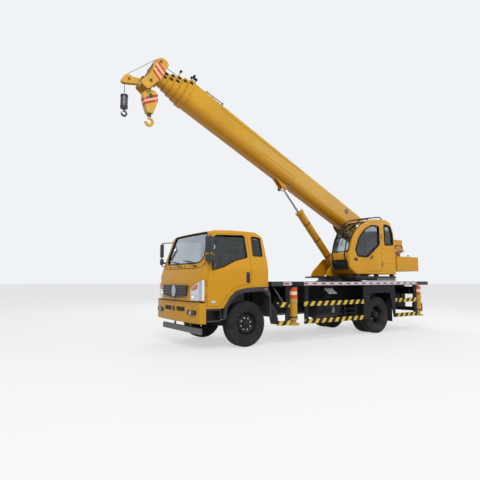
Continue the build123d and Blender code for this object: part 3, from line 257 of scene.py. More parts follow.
def lined_paint(name, room, lining):
    """Body paint outside and a dark lining on the faces that look into the room."""
    material, tree, shader, tone = paint(name, YELLOW, FADED_YELLOW)
    look = tree.nodes.new("ShaderNodeVectorMath")
    look.operation = "DOT_PRODUCT"
    tree.links.new(shifted(tree, room), look.inputs[0])
    normal = tree.nodes.new("ShaderNodeTexCoord").outputs["Normal"]
    tree.links.new(normal, look.inputs[1])
    inward = step(tree, look.outputs["Value"], -0.01, -0.03)
    put(tree, blend_colour(tree, inward, dusted(tree, tone, 0.12), lining), shader.inputs["Base Color"])
    return material


cab_paint = lined_paint("cab paint and lining", tuple(place(-0.35, 0, 1.85)), (0.055, 0.056, 0.06))
operator_paint = lined_paint(
    "operator cab paint and lining", tuple(place(4.35, -0.79, 2.40)), (0.09, 0.09, 0.095)
)


def turret_paint():
    """Yellow plates on a black bed."""
    material, tree, shader, tone = paint("turret yellow", YELLOW, FADED_YELLOW, dust=0.0)
    z = along(tree, (0, 0, 1))
    beside = step(tree, along(tree, (0, 1, 0)), -0.44, -0.45)
    low = step(tree, sums(tree, "MULTIPLY_ADD", beside, -0.045, z), 1.612, 1.610)
    put(tree, blend_colour(tree, low, tone, (0.012, 0.013, 0.016)), shader.inputs["Base Color"])
    return material


turret_finish = turret_paint()


def striped_paint(name, mask_of, base, colours, rest):
    """Enamel with painted stripes: mask_of gives the shares of the stripe colours."""
    material, tree, shader, tone = paint(name, base, tuple(c * 0.85 for c in base), dust=rest)
    for share, colour in zip(mask_of(tree), colours):
        tone = blend_colour(tree, share, tone, colour)
    put(tree, dusted(tree, tone, rest), shader.inputs["Base Color"])
    return material


def guard_stripes(tree):
    z = along(tree, (0, 0, 1))
    x = along(tree, (1, 0, 0), (AXLE_X, 0, 0))
    rows = sums(tree, "ADD", between(tree, z, 0.425, 0.534), between(tree, z, 0.851, 0.963))
    skirt = between(tree, x, 3.81, 5.2)
    rows = sums(tree, "MULTIPLY", rows, sums(tree, "SUBTRACT", 1.0, skirt))
    phase = sums(tree, "FRACT", sums(tree, "DIVIDE", sums(tree, "MULTIPLY_ADD", z, -0.75, x), 0.235))
    return [sums(tree, "MULTIPLY", rows, between(tree, phase, 0.0, 0.5, 0.02))]


guard_finish = striped_paint(
    "guard stripes", guard_stripes, (0.012, 0.013, 0.017), [(0.66, 0.46, 0.05)], 0.1
)


def deck_strip(tree):
    y = sums(tree, "ABSOLUTE", along(tree, (0, 1, 0)))
    z = along(tree, (0, 0, 1))
    x = along(tree, (1, 0, 0), (AXLE_X, 0, 0))
    face = sums(tree, "MULTIPLY", step(tree, y, 1.2190, 1.2195), between(tree, x, 0.97, 6.26))
    face = sums(tree, "MULTIPLY", face, between(tree, z, 1.362, 1.440))
    phase = sums(tree, "FRACT", sums(tree, "DIVIDE", sums(tree, "SUBTRACT", x, 1.57), 0.305))
    dash = sums(tree, "MULTIPLY", face, between(tree, phase, 0.10, 0.60, 0.02))
    dash = sums(tree, "MULTIPLY", dash, between(tree, z, 1.381, 1.421))
    return [face, dash]


def treaded(material):
    """Raised lozenges on the top of a plate, in rows that alternate."""
    tree = material.node_tree
    x = along(tree, (1, 0, 0))
    y = along(tree, (0, 1, 0))
    rows = []
    for a, b in ((1, 1), (1, -1)):
        long = sums(tree, "MULTIPLY_ADD", x, 62.0 * a, sums(tree, "MULTIPLY", y, 62.0 * b))
        across = sums(tree, "MULTIPLY_ADD", x, 124.0 * a, sums(tree, "MULTIPLY", y, -124.0 * b))
        rows.append(
            sums(tree, "MULTIPLY", step(tree, sums(tree, "SINE", long), 0.2, 0.8),
                 step(tree, sums(tree, "COSINE", across), 0.3, 0.9))
        )
    lozenges = sums(tree, "MAXIMUM", *rows)
    top = step(tree, along(tree, (0, 0, 1)), 1.448, 1.4495)
    height = sums(tree, "MULTIPLY", lozenges, top)
    raise_surface(tree, tree.nodes["Principled BSDF"], height, 0.5, 0.004)
    return material


deck_finish = striped_paint(
    "deck", deck_strip, (0.035, 0.036, 0.040), [(0.52, 0.52, 0.56), (0.36, 0.012, 0.03)], 0.1
)
treaded(deck_finish)


def jack_band(tree):
    z = along(tree, (0, 0, 1))
    tube = step(tree, sums(tree, "ABSOLUTE", along(tree, (0, 1, 0))), 1.008, 1.010)
    band = sums(tree, "MULTIPLY", tube, between(tree, z, 1.045, 1.305))
    return [band, sums(tree, "MULTIPLY", tube, between(tree, z, 1.130, 1.215))]


jack_finish = striped_paint(
    "jack yellow", jack_band, (0.56, 0.30, 0.020), [(0.62, 0.07, 0.012), (0.80, 0.60, 0.42)], 0.1
)


def head_stripes(tree):
    u = along(tree, BOOM_ALONG, PIVOT_POINT)
    v = along(tree, BOOM_ACROSS, PIVOT_POINT)
    y = sums(tree, "ABSOLUTE", along(tree, (0, 1, 0)))
    rise = sums(tree, "SUBTRACT", v, sums(tree, "MULTIPLY", sums(tree, "SUBTRACT", u, 8.218), 0.411))
    area = sums(tree, "MULTIPLY", between(tree, rise, 0.105, 0.425), between(tree, u, 7.995, 8.245))
    area = sums(tree, "MULTIPLY", area, step(tree, y, 0.1985, 0.1995))
    phase = sums(tree, "FRACT", sums(tree, "DIVIDE", sums(tree, "SUBTRACT", rise, 0.105), 0.128))
    return [area, sums(tree, "MULTIPLY", area, between(tree, phase, 0.0, 0.44, 0.03))]


head_finish = striped_paint(
    "head stripes", head_stripes, (0.62, 0.34, 0.04), [(0.80, 0.40, 0.22), (0.42, 0.045, 0.035)], 0.0
)


def hook_stripes(tree):
    x = along(tree, (1, 0, 0), (AXLE_X - 1.97, 0, 0))
    z = along(tree, (0, 0, 1))
    rise = sums(tree, "SUBTRACT", z, sums(tree, "MULTIPLY", x, 0.45))
    first = between(tree, rise, 5.645, 5.705)
    second = between(tree, rise, 5.53, 5.59)
    return [between(tree, rise, 5.53, 5.705), sums(tree, "ADD", first, second)]


hook_finish = striped_paint(
    "hook stripes", hook_stripes, (0.62, 0.36, 0.05), [(0.80, 0.40, 0.22), (0.42, 0.045, 0.035)], 0.0
)


def metal(name, colour, roughness, scratch=0.25):
    material, tree, shader = start_finish(name, roughness, metallic=1.0)
    fine = speckle(tree, 70.0, 3.0)
    put(
        tree, blend_colour(tree, fine, colour, tuple(c * 0.75 for c in colour)),
        shader.inputs["Base Color"],
    )
    put(
        tree, sums(tree, "MULTIPLY_ADD", speckle(tree, 25.0, 4.0), scratch, roughness - scratch / 2),
        shader.inputs["Roughness"],
    )
    return material


bare_steel = metal("machined steel", (0.50, 0.51, 0.53), 0.34)
chrome = metal("chrome", (0.80, 0.81, 0.83), 0.10, 0.06)
dark_steel = metal("oiled steel", (0.10, 0.10, 0.11), 0.42)
mirror_face = metal("mirror glass", (0.86, 0.88, 0.90), 0.03, 0.01)


def plastic(name, colour, roughness=0.55, grain=0.25):
    """Moulded plastic with a fine leathery grain."""
    material, tree, shader = start_finish(name, roughness)
    pale = tuple(min(1, c * 1.6 + 0.01) for c in colour)
    tone = blend_colour(tree, step(tree, speckle(tree, 2.0, 4.0), 0.35, 0.7), colour, pale)
    put(tree, dusted(tree, tone, 0.08), shader.inputs["Base Color"])
    cells = tree.nodes.new("ShaderNodeTexVoronoi")
    tree.links.new(where(tree), cells.inputs["Vector"])
    cells.inputs["Scale"].default_value = 420.0
    raise_surface(tree, shader, cells.outputs["Distance"], grain, 0.0008)
    return material


black_plastic = plastic("black plastic", (0.014, 0.014, 0.016))
cab_lining = plastic("cab lining", (0.10, 0.10, 0.105), 0.6)
orange_lens = start_finish("orange lens", 0.12, coat=0.5)[0]
red_lens = start_finish("red lens", 0.12, coat=0.5)[0]
pale_lens = start_finish("pale lens", 0.12, coat=0.8)[0]
for lens, colour in (
    (orange_lens, (0.72, 0.17, 0.03)), (red_lens, (0.45, 0.02, 0.02)), (pale_lens, (0.66, 0.66, 0.64)),
):
    ribs = lens.node_tree
    shader = ribs.nodes["Principled BSDF"]
    band = speckle(ribs, 1.0, 0.0, shifted(ribs, (0, 0, 0), (180, 180, 8)))
    put(ribs, blend_colour(ribs, band, colour, tuple(c * 0.6 for c in colour)), shader.inputs["Base Color"])
    raise_surface(ribs, shader, band, 0.3, 0.002)


def clear_glass(name, tint, roughness=0.02, clear=1.0):
    material, tree, shader = start_finish(name, roughness)
    shader.inputs["Transmission Weight"].default_value = clear
    shader.inputs["IOR"].default_value = 1.45
    haze = step(tree, speckle(tree, 2.2, 4.0), 0.4, 0.75)
    put(tree, blend_colour(tree, haze, tint, tuple(c * 0.9 for c in tint)), shader.inputs["Base Color"])
    return material


window_glass = clear_glass("window glass", (0.70, 0.76, 0.76))
lamp_glass = clear_glass("lamp glass", (0.90, 0.92, 0.94), 0.03)


def cab_window_glass():
    """Clear at the sides, with a mirroring coat on the sloping screen."""
    material = clear_glass("cab window glass", (0.55, 0.60, 0.65))
    tree = material.node_tree
    front = step(tree, along(tree, (1, 0, 0), (AXLE_X, 0, 0)), -0.78, -0.80)
    share = sums(tree, "MULTIPLY", front, 0.5)
    put(tree, share, tree.nodes["Principled BSDF"].inputs["Metallic"])
    return material


screen_glass = cab_window_glass()


def headlamp_finish():
    """A silvered housing under a ribbed clear lens, with a painted highlight along its outer rim."""
    material, tree, shader = start_finish("headlamp", 0.16, metallic=0.75, coat=1.0)
    y = sums(tree, "ABSOLUTE", along(tree, (0, 1, 0)))
    z = along(tree, (0, 0, 1))
    ribs = sums(tree, "SINE", sums(tree, "MULTIPLY", z, 330.0))
    outer = step(tree, y, 1.012, 1.018)
    ribbed = sums(tree, "MULTIPLY", outer, step(tree, ribs, -0.2, 0.4))
    tone = blend_colour(tree, ribbed, (0.62, 0.65, 0.70), (0.20, 0.23, 0.30))
    # painted highlight: the lamp's outer rim, where it turns the cab corner, is painted a paler silver
    rim = step(tree, y, 1.085, 1.095)
    put(tree, blend_colour(tree, rim, tone, (0.80, 0.82, 0.85)), shader.inputs["Base Color"])
    raise_surface(tree, shader, ribs, 0.35, 0.003)
    return material


headlamp_glass_with_painted_highlight = headlamp_finish()


def tyre_finish():
    """Rubber: grey bloom on the walls, ground-in dust on the tread."""
    material, tree, shader = start_finish("tyre rubber", 0.75, specular=0.2)
    bloom = step(tree, speckle(tree, 6.0, 5.0), 0.35, 0.75)
    tone = blend_colour(tree, bloom, (0.009, 0.009, 0.009), (0.022, 0.021, 0.020))
    put(tree, dusted(tree, tone, 0.10, 0.9), shader.inputs["Base Color"])
    raise_surface(tree, shader, speckle(tree, 220.0, 3.0), 0.25, 0.001)
    return material


rubber = tyre_finish()


def rope_finish():
    material, tree, shader = start_finish("wire rope", 0.45, metallic=0.7)
    twist = sums(tree, "SINE", sums(tree, "MULTIPLY", along(tree, (1, 0.6, 1)), 420.0))
    put(
        tree, blend_colour(tree, step(tree, twist, -0.6, 0.6), (0.05, 0.05, 0.05), (0.24, 0.23, 0.21)),
        shader.inputs["Base Color"],
    )
    raise_surface(tree, shader, twist, 0.6, 0.003)
    return material


wire = rope_finish()


def seat_cloth():
    material, tree, shader = start_finish("seat cloth", 0.85)
    shader.inputs["Sheen Weight"].default_value = 0.3
    threads = speckle(tree, 1.0, 1.0, shifted(tree, (0, 0, 0), (600, 600, 600)))
    put(tree, blend_colour(tree, threads, (0.03, 0.032, 0.036), (0.10, 0.10, 0.11)), shader.inputs["Base Color"])
    raise_surface(tree, shader, threads, 0.4, 0.001)
    return material


seat_finish = seat_cloth()

NODE_FINISHES = {
    "cab_shell": cab_paint, "bumper": yellow_paint, "door_left": cab_paint,
    "door_right": cab_paint, "operator_cab": operator_paint, "operator_door": operator_paint,
    "turret_frame": turret_finish, "counterweight": yellow_paint, "winches": brass_paint,
    "boom_base": boom_paint_with_painted_belly_shade, "boom_section_2": boom_paint_with_painted_belly_shade, "boom_section_3": boom_paint_with_painted_belly_shade,
    "boom_section_4": boom_paint_with_painted_belly_shade, "boom_section_5": boom_paint_with_painted_belly_shade, "boom_head": head_finish,
    "luff_barrel": boom_paint_with_painted_belly_shade, "hook_block": hook_finish, "luff_rod": chrome,
    "chassis_frame": black_paint, "outrigger_boxes": black_paint, "engine": dark_steel,
    "tanks": black_paint, "front_axle": black_paint, "rear_axle": black_paint,
    "slew_ring": dark_steel, "knuckle_left": dark_steel, "knuckle_right": dark_steel,
    "deck": deck_finish, "underrun_bar": grey_paint, "side_guards": guard_finish,
    "cab_glass": screen_glass, "door_glass_left": window_glass, "door_glass_right": window_glass,
    "operator_cab_glass": window_glass, "operator_door_glass": window_glass,
    "cab_interior": cab_lining, "operator_seat": seat_finish, "grille": black_plastic,
    "mirrors": black_plastic, "cab_steps": black_plastic, "headlamps": headlamp_glass_with_painted_highlight,
    "aux_hook": dark_steel, "prop_shaft": dark_steel, "rear_bar": black_paint,
}
for name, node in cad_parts.items():
    if name.startswith("tyre"):
        finish = rubber
    elif name.startswith("rim"):
        finish = rim_paint
    elif name.startswith(("outrigger_beam", "jack_leg")):
        finish = jack_finish
    else:
        finish = NODE_FINISHES[name]
    node.data.materials.clear()
    node.data.materials.append(finish)


# Workshop


def select_only(*pieces):
    if bpy.context.object and bpy.context.object.mode != "OBJECT":
        bpy.ops.object.mode_set(mode="OBJECT")
    bpy.ops.object.select_all(action="DESELECT")
    for piece in pieces:
        piece.select_set(True)
    bpy.context.view_layer.objects.active = pieces[0]


def open_mesh(piece, everything=True):
    select_only(piece)
    bpy.ops.object.mode_set(mode="EDIT")
    bpy.ops.mesh.select_all(action="SELECT" if everything else "DESELECT")


def close_mesh():
    bpy.ops.object.mode_set(mode="OBJECT")


def set_down(piece):
    select_only(piece)
    bpy.ops.object.transform_apply(location=True, rotation=True, scale=True)
    return piece


def dress(piece, name, body, finish, angle=35):
    """Names a finished piece, gives it its finish and puts it on its body."""
    select_only(piece)
    bpy.ops.object.shade_smooth_by_angle(angle=radians(angle))
    piece.name = name
    piece.data.materials.clear()
    piece.data.materials.append(finish)
    if body:
        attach(piece, body)
    return piece


def joined(pieces):
    select_only(*pieces)
    if len(pieces) > 1:
        bpy.ops.object.join()
    return bpy.context.view_layer.objects.active


def rounded_block(low, high, edge=0.004, segments=2):
    """A block with its edges broken."""
    low, high = Vector(low), Vector(high)
    bpy.ops.mesh.primitive_cube_add(size=1, location=(low + high) / 2, scale=high - low)
    block = set_down(bpy.context.object)
    open_mesh(block)
    bpy.ops.mesh.bevel(offset=edge, segments=segments, affect="EDGES")
    close_mesh()
    return block


def cut_plate(points, thickness, edge=0.003):
    """A plate from its outline, thickened along a vector, with broken edges."""
    bpy.ops.mesh.primitive_circle_add(vertices=len(points), fill_type="NGON")
    plate = bpy.context.object
    for vertex, point in zip(plate.data.vertices, points):
        vertex.co = point
    open_mesh(plate)
    bpy.ops.mesh.extrude_region_move(TRANSFORM_OT_translate={"value": thickness})
    bpy.ops.mesh.select_all(action="SELECT")
    bpy.ops.mesh.normals_make_consistent(inside=False)
    if edge:
        bpy.ops.mesh.bevel(offset=edge, segments=2, affect="EDGES")
    close_mesh()
    return plate


def turned(profile, centre, axis, out, steps=64):
    """A turned piece: the profile's pairs are its radius and its place along the axis."""
    centre, axis, out = Vector(centre), Vector(axis), Vector(out)
    bpy.ops.mesh.primitive_circle_add(vertices=len(profile), fill_type="NOTHING")
    piece = bpy.context.object
    for vertex, (radius, rise) in zip(piece.data.vertices, profile):
        vertex.co = centre + out * radius + axis * rise
    open_mesh(piece)
    bpy.ops.mesh.spin(steps=steps, angle=2 * pi, center=centre, axis=axis)
    bpy.ops.mesh.select_all(action="SELECT")
    bpy.ops.mesh.remove_doubles(threshold=0.00005)
    bpy.ops.mesh.normals_make_consistent(inside=False)
    close_mesh()
    return piece


def rod(start, end, radius, sides=16, edge=0.0):
    """A straight rod with chamfered ends."""
    start, end = Vector(start), Vector(end)
    run = end - start
    bpy.ops.mesh.primitive_cylinder_add(
        vertices=sides, radius=radius, depth=run.length, location=(start + end) / 2,
        rotation=run.to_track_quat("Z", "Y").to_euler(),
    )
    piece = set_down(bpy.context.object)
    open_mesh(piece, False)
    bpy.ops.mesh.select_all(action="DESELECT")
    bpy.ops.mesh.edges_select_sharp(sharpness=radians(60))
    bpy.ops.mesh.bevel(offset=edge or radius * 0.18, segments=2, affect="EDGES")
    close_mesh()
    return piece


def bent_tube(points, radius, closed=False, turn=0.0, sides=3):
    """A tube along points, its corners rounded by turn."""
    path = [Vector(p) for p in points]
    if turn:
        soft = []
        count = len(path)
        for i, point in enumerate(path):
            if not closed and i in (0, count - 1):
                soft.append(point)
                continue
            before, after = path[i - 1] - point, path[(i + 1) % count] - point
            reach = min(turn, before.length / 2, after.length / 2)
            a, b = point + before.normalized() * reach, point + after.normalized() * reach
            for t in (0, 0.25, 0.5, 0.75, 1):
                soft.append(a * (1 - t) ** 2 + point * 2 * t * (1 - t) + b * t * t)
        path = soft
    bpy.ops.curve.primitive_bezier_curve_add()
    tube = bpy.context.object
    line = tube.data
    line.splines.clear()
    spline = line.splines.new("POLY")
    spline.points.add(len(path) - 1)
    for knot, point in zip(spline.points, path):
        knot.co = (*point, 1)
    spline.use_cyclic_u = closed
    line.dimensions = "3D"
    line.bevel_depth = radius
    line.bevel_resolution = sides
    line.use_fill_caps = not closed
    select_only(tube)
    bpy.ops.object.convert(target="MESH")
    return set_down(bpy.context.object)


def stretched(piece, centre, factors):
    """The piece stretched or flattened about a point."""
    open_mesh(piece)
    bpy.ops.transform.resize(value=factors, center_override=centre)
    close_mesh()
    return piece


def swung(piece, centre, angle):
    """The piece turned about an upright line."""
    spot = Matrix.Translation(centre)
    piece.data.transform(spot @ Matrix.Rotation(angle, 4, "Z") @ spot.inverted())
    return piece


def boom_block(low, high, edge=0.004):
    """A block from its corners in u, y and v, laid along the boom."""
    (u0, y0, v0), (u1, y1, v1) = low, high
    block = rounded_block((-u1, y0, v0), (-u0, y1, v1), edge)
    block.data.transform(Matrix.Translation(PIVOT_POINT) @ Matrix.Rotation(BOOM_TILT, 4, "Y"))
    return block


def copies(piece, shifts):
    """The piece and its copies, each moved by a shift, as one."""
    made = [piece]
    for shift in shifts:
        twin = piece.copy()
        twin.data = piece.data.copy()
        bpy.context.scene.collection.objects.link(twin)
        twin.data.transform(Matrix.Translation(Vector(shift)))
        made.append(twin)
    return joined(made)


def mirrored(piece):
    """A copy of the piece on the other side of the crane."""
    twin = piece.copy()
    twin.data = piece.data.copy()
    bpy.context.scene.collection.objects.link(twin)
    twin.data.transform(Matrix.Scale(-1, 4, (0, 1, 0)))
    open_mesh(twin)
    bpy.ops.mesh.normals_make_consistent(inside=False)
    close_mesh()
    return twin


def hex_bolt(point, axis, size=0.012):
    """A washer and a six-sided head."""
    point, axis = Vector(point), Vector(axis)
    washer = rod(point - axis * 0.002, point + axis * size * 0.25, size * 1.35, 14)
    head = rod(point, point + axis * size * 0.9, size, 6)
    return joined([head, washer])


def bolt_row(points, axis, size=0.012):
    first = hex_bolt(points[0], axis, size)
    return copies(first, [Vector(p) - Vector(points[0]) for p in points[1:]])


def round_bolts(centre, axis, radius, count, size, phase=0.0):
    """Bolts evenly round a circle."""
    centre, axis = Vector(centre), Vector(axis)
    out = axis.orthogonal().normalized()
    side = axis.cross(out)
    points = [
        centre + (out * cos(phase + 2 * pi * i / count) + side * sin(phase + 2 * pi * i / count)) * radius
        for i in range(count)
    ]
    return bolt_row(points, axis, size)


# Wheels: tyres with ribs and shoulder blocks, wheel nuts and hub caps


def tyre(centre_y, wheel_x, outward):
    centre = place(wheel_x, centre_y, TYRE_R)
    axis = Vector((0, outward, 0))
    wall = [
        (0.262, -0.0945), (0.268, -0.106), (0.290, -0.112), (0.298, -0.109), (0.306, -0.1135),
        (0.360, -0.1205), (0.366, -0.1185), (0.374, -0.1215), (0.430, -0.1222), (0.436, -0.1195),
        (0.444, -0.1210), (0.474, -0.1165), (0.489, -0.1060), (0.4965, -0.0910), (0.5080, -0.0850),
        (0.5090, -0.0500), (0.4990, -0.0480), (0.4990, -0.0400), (0.5090, -0.0380),
        (0.5090, -0.0060), (0.4990, -0.0045),
    ]
    profile = wall + [(r, -y) for r, y in reversed(wall)]
    carcass = turned(profile, centre, axis, (1, 0, 0), 72)
    blocks = []
    for turn in (-1, 1):
        low = centre + Vector((0, turn * 0.0885, 0)) + Vector((-0.011, -0.0135, 0.486))
        high = centre + Vector((0, turn * 0.0885, 0)) + Vector((0.011, 0.0175, 0.5080))
        if turn < 0:
            low.y, high.y = centre.y - 0.106, centre.y - 0.075
        else:
            low.y, high.y = centre.y + 0.075, centre.y + 0.106
        block = rounded_block(low, high, 0.003, 1)
        open_mesh(block)
        bpy.ops.mesh.spin(steps=52, angle=2 * pi, center=centre, axis=(0, 1, 0), dupli=True)
        close_mesh()
        blocks.append(block)
    return joined([carcass, *blocks])


def wheel_nuts(wheel_x, side, face, hub_face, ring):
    centre = place(wheel_x, side * face, TYRE_R)
    axis = Vector((0, side, 0))
    nuts = round_bolts(centre, axis, ring, 8, 0.0165, 0.3)
    studs = round_bolts(centre, axis, ring, 8, 0.0085, 0.3)
    hub = round_bolts(place(wheel_x, side * hub_face, TYRE_R), axis, 0.074, 8, 0.008)
    return joined([nuts, studs, hub])


def hub_cap(wheel_x, side, face):
    centre = place(wheel_x, side * face, TYRE_R)
    profile = [
        (0.0, 0.0), (0.090, 0.0), (0.090, 0.010), (0.060, 0.014), (0.054, 0.034), (0.040, 0.042), (0.0, 0.044),
    ]
    return turned(profile, centre, (0, side, 0), (1, 0, 0), 40)


for hand, side in (("left", -1), ("right", 1)):
    for end, wheel_x, rows, face, hub_face in (
        ("front", 0, (0.98,), 1.050, 1.080),
        ("rear", WHEELBASE, (0.98, 0.68), 0.876, 1.040),
    ):
        body = f"wheel_{end}_{hand}"
        rings = [tyre(side * row, wheel_x, side) for row in rows]
        full = dress(joined(rings), f"{end}_{hand}_tyre", body, rubber)
        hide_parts(f"tyre_{end}_{hand}")
        nuts = wheel_nuts(wheel_x, side, face, hub_face, 0.130)
        dress(nuts, f"{end}_{hand}_wheel_nuts", body, bare_steel)
        dress(hub_cap(wheel_x, side, hub_face - 0.001), f"{end}_{hand}_hub_cap", body, rim_paint)


# Outlines that follow the cabs


def rounded_path(rows, closed=True, pitch=0.10):
    """Points along rows of two places and a corner radius, with its long runs split up."""
    marks = []
    count = len(rows)
    for i, (a, b, radius) in enumerate(rows):
        here = Vector((a, b))
        if radius <= 0 or (not closed and i in (0, count - 1)):
            marks.append(here)
            continue
        before = Vector(rows[i - 1][:2]) - here
        after = Vector(rows[(i + 1) % count][:2]) - here
        half = before.angle(after) / 2
        reach = min(radius / math.tan(half), before.length / 2, after.length / 2)
        start, end = here + before.normalized() * reach, here + after.normalized() * reach
        for t in (0, 0.2, 0.4, 0.6, 0.8, 1):
            marks.append(start * (1 - t) ** 2 + here * 2 * t * (1 - t) + end * t * t)
    points = []
    for i, mark in enumerate(marks[:-1] if not closed else marks):
        following = marks[(i + 1) % len(marks)]
        parts = max(1, int((following - mark).length / pitch))
        points += [mark + (following - mark) * k / parts for k in range(parts)]
    if not closed:
        points.append(marks[-1])
    return points


BOW_LINE_X = 7.75
FRONT_PROFILE = ((0.80, -1.25), (1.44, -1.25), (1.85, -1.10), (2.588, -0.88))


def front_x(y, z):
    """Where the cab's bowed front stands at a place across it and a height."""
    base = FRONT_PROFILE[0][1]
    for (z0, x0), (z1, x1) in zip(FRONT_PROFILE, FRONT_PROFILE[1:]):
        if z >= z0:
            base = x0 + (x1 - x0) * min(1, (z - z0) / (z1 - z0))
    return BOW_LINE_X - math.sqrt((BOW_LINE_X - base) ** 2 - y * y)


def side_y(z):
    """Half the cab's width at a height: plumb below, leaning in above the waist."""
    return CAB_HALF - max(0, z - 1.72) * 0.172


def front_seal(rows, radius, off=0.002):
    points = [place(front_x(y, z) - off, y, z) for y, z in rounded_path(rows)]
    return bent_tube(points, radius, closed=True)


def side_seal(rows, side, radius, off=0.001):
    points = [place(x, side * (side_y(z) + off), z) for x, z in rounded_path(rows)]
    return bent_tube(points, radius, closed=True)


def corner_gusset(before, corner, after, radius, surface, thickness):
    """A painted piece that rounds off a window's corner."""
    here = Vector(corner)
    one, two = (Vector(before) - here).normalized(), (Vector(after) - here).normalized()
    reach = radius / math.tan(one.angle(two) / 2)
    arc = [
        (here + one * reach) * (1 - t) ** 2 + here * 2 * t * (1 - t) + (here + two * reach) * t * t
        for t in (0, 0.2, 0.4, 0.6, 0.8, 1)
    ]
    return cut_plate([surface(*p) for p in [here, *arc]], thickness, 0)


def flat_seal(rows, y, radius):
    return bent_tube([place(x, y, z) for x, z in rounded_path(rows)], radius, closed=True)


# Truck cab front: screen seal, grille slats, lamps, wipers

SCREEN = ((-0.99, 1.86, 0.23), (-0.795, 2.55, 0.06), (0.795, 2.55, 0.06), (0.99, 1.86, 0.23))
gussets = [
    corner_gusset(
        (side * 0.795, 2.55), (side * 0.99, 1.86), (0, 1.86), 0.23,
        lambda y, z: place(front_x(y, z) - 0.0015, y, z), (0.008, 0, 0),
    )
    for side in (-1, 1)
]
dress(joined(gussets), "screen_corners", "carrier", yellow_paint)
dress(front_seal(SCREEN, 0.013), "screen_seal", "carrier", rubber)
slats = []
for z, half in ((1.325, 0.585), (1.262, 0.572), (1.200, 0.556)):
    slats.append(rounded_block(place(-1.288, -half, z - 0.009), place(-1.271, half, z + 0.009), 0.004))
dress(joined(slats), "grille_slats", "carrier", dark_paint)
GRILLE = (
    (-0.63, 1.37, 0.03), (0.63, 1.37, 0.03), (0.56, 1.14, 0.05), (0, 1.086, 0.2), (-0.56, 1.14, 0.05),
)
surround = bent_tube([place(-1.272, y, z) for y, z in rounded_path(GRILLE)], 0.009, closed=True)
dress(surround, "grille_surround", "carrier", dark_paint)
disc = turned(
    [(0, -0.012), (0.104, -0.012), (0.104, 0.006), (0.096, 0.012), (0.086, 0.012), (0.080, 0.006), (0, 0.008)],
    place(-1.286, 0, 1.242), (-1, 0, 0), (0, 1, 0), 64,
)
stretched(disc, place(-1.286, 0, 1.242), (1, 1, 1.25))
dress(disc, "grille_disc", "carrier", bare_steel)
# painted shade: a black rubber tube laid along the gap between nose and bumper, deepening the gap's shadow into a
# thick black band
gap_shade_lip = bent_tube([place(front_x(0.1 * k, 1.01) - 0.002, 0.1 * k, 1.018) for k in range(-11, 12)], 0.014)
dress(gap_shade_lip, "nose_gap_shade_lip", "carrier", rubber)
SEAM = [(1.085, 2.02), (1.04, 1.86), (0.95, 1.775), (0.75, 1.745)]
SEAM += [(0.15 * k, 1.745) for k in range(4, -5, -1)]
SEAM += [(-y, z) for y, z in reversed(SEAM[:4])]
seam = bent_tube([place(front_x(y, z) + 0.001, y, z) for y, z in SEAM], 0.007)
dress(seam, "front_lid_seam", "carrier", rubber)
cowl = [
    rounded_block(place(front_x(y, 1.782) - 0.006, y - half, 1.764), place(front_x(y, 1.782) + 0.02, y + half, 1.800), 0.004)
    for y, half in ((-0.72, 0.035), (-0.22, 0.02), (-0.06, 0.035), (0.35, 0.02), (0.60, 0.035))
]
dress(joined(cowl), "cowl_vents", "carrier", rubber)
intakes = []
for side in (-1, 1):
    low, high = sorted((side * 0.124, side * 0.516))
    intakes.append(rounded_block(place(-1.246, low, 0.804), place(-1.228, high, 0.896), 0.003))
    for z in (0.828, 0.850, 0.872):
        intakes.append(rounded_block(place(-1.262, low, z - 0.004), place(-1.240, high, z + 0.004), 0.002))
dress(joined(intakes), "bumper_intakes", "carrier", black_plastic)
# painted shade: a black dished disc on the bumper skin stands for the dark inside of a round hole
hole_shade_disc = turned(
    [(0, 0.001), (0.046, 0.001), (0.054, 0.006), (0.060, 0.006), (0.064, 0.001), (0.064, -0.004), (0, -0.004)],
    place(-1.280, 0, 0.850), (-1, 0, 0), (0, 1, 0), 48,
)
dress(hole_shade_disc, "bumper_hole_painted_shade", "carrier", black_plastic)
edge = bent_tube([place(-1.281 + y * y * 0.0675, y, 0.998) for y in [0.09 * k for k in range(-12, 13)]], 0.012)
dress(edge, "bumper_edge", "carrier", yellow_paint)


def lamp_bowl(centre, axis, radius, out=(0, 0, 1)):
    """A lamp from the front: bright rim, dished reflector and a bulb cap."""
    return turned(
        [
            (0, 0.006), (radius * 0.18, 0.006), (radius * 0.2, 0.0), (radius * 0.5, 0.001),
            (radius * 0.86, 0.006), (radius * 0.9, 0.011), (radius, 0.009), (radius, -0.004), (0, -0.004),
        ],
        centre, axis, out, 40,
    )


for hand, side in (("left", -1), ("right", 1)):
    axis = Vector((-cos(0.06), side * sin(0.06), 0))
    bowl = lamp_bowl(place(-1.219, side * 0.880, 1.155), axis, 0.078)
    dress(bowl, f"headlamp_bowl_{hand}", "carrier", chrome)
    lens = [(0.765, 1.262), (0.770, 1.300), (0.900, 1.366), (0.985, 1.402), (0.970, 1.300), (0.900, 1.262)]
    signal = cut_plate(
        [place(front_x(y, z) - 0.0115, side * y, z) for y, z in lens], (-0.006, 0, 0), 0.003
    )
    dress(signal, f"signal_{hand}", "carrier", orange_lens)
    low, high = sorted((side * 0.632, side * 0.968))
    backing = rounded_block(place(-1.262, low, 0.742), place(-1.250, high, 0.838), 0.003)
    dress(backing, f"fog_backing_{hand}", "carrier", black_plastic)
    fog = lamp_bowl(place(-1.264, side * 0.80, 0.79), (-1, 0, 0), 0.042)
    dress(fog, f"fog_lamp_{hand}", "carrier", chrome)
    glass = turned(
        [(0, 0.022), (0.02, 0.021), (0.034, 0.016), (0.040, 0.008), (0.038, 0.006), (0, 0.014)],
        place(-1.264, side * 0.80, 0.79), (-1, 0, 0), (0, 0, 1), 40,
    )
    dress(glass, f"fog_glass_{hand}", "carrier", lamp_glass)
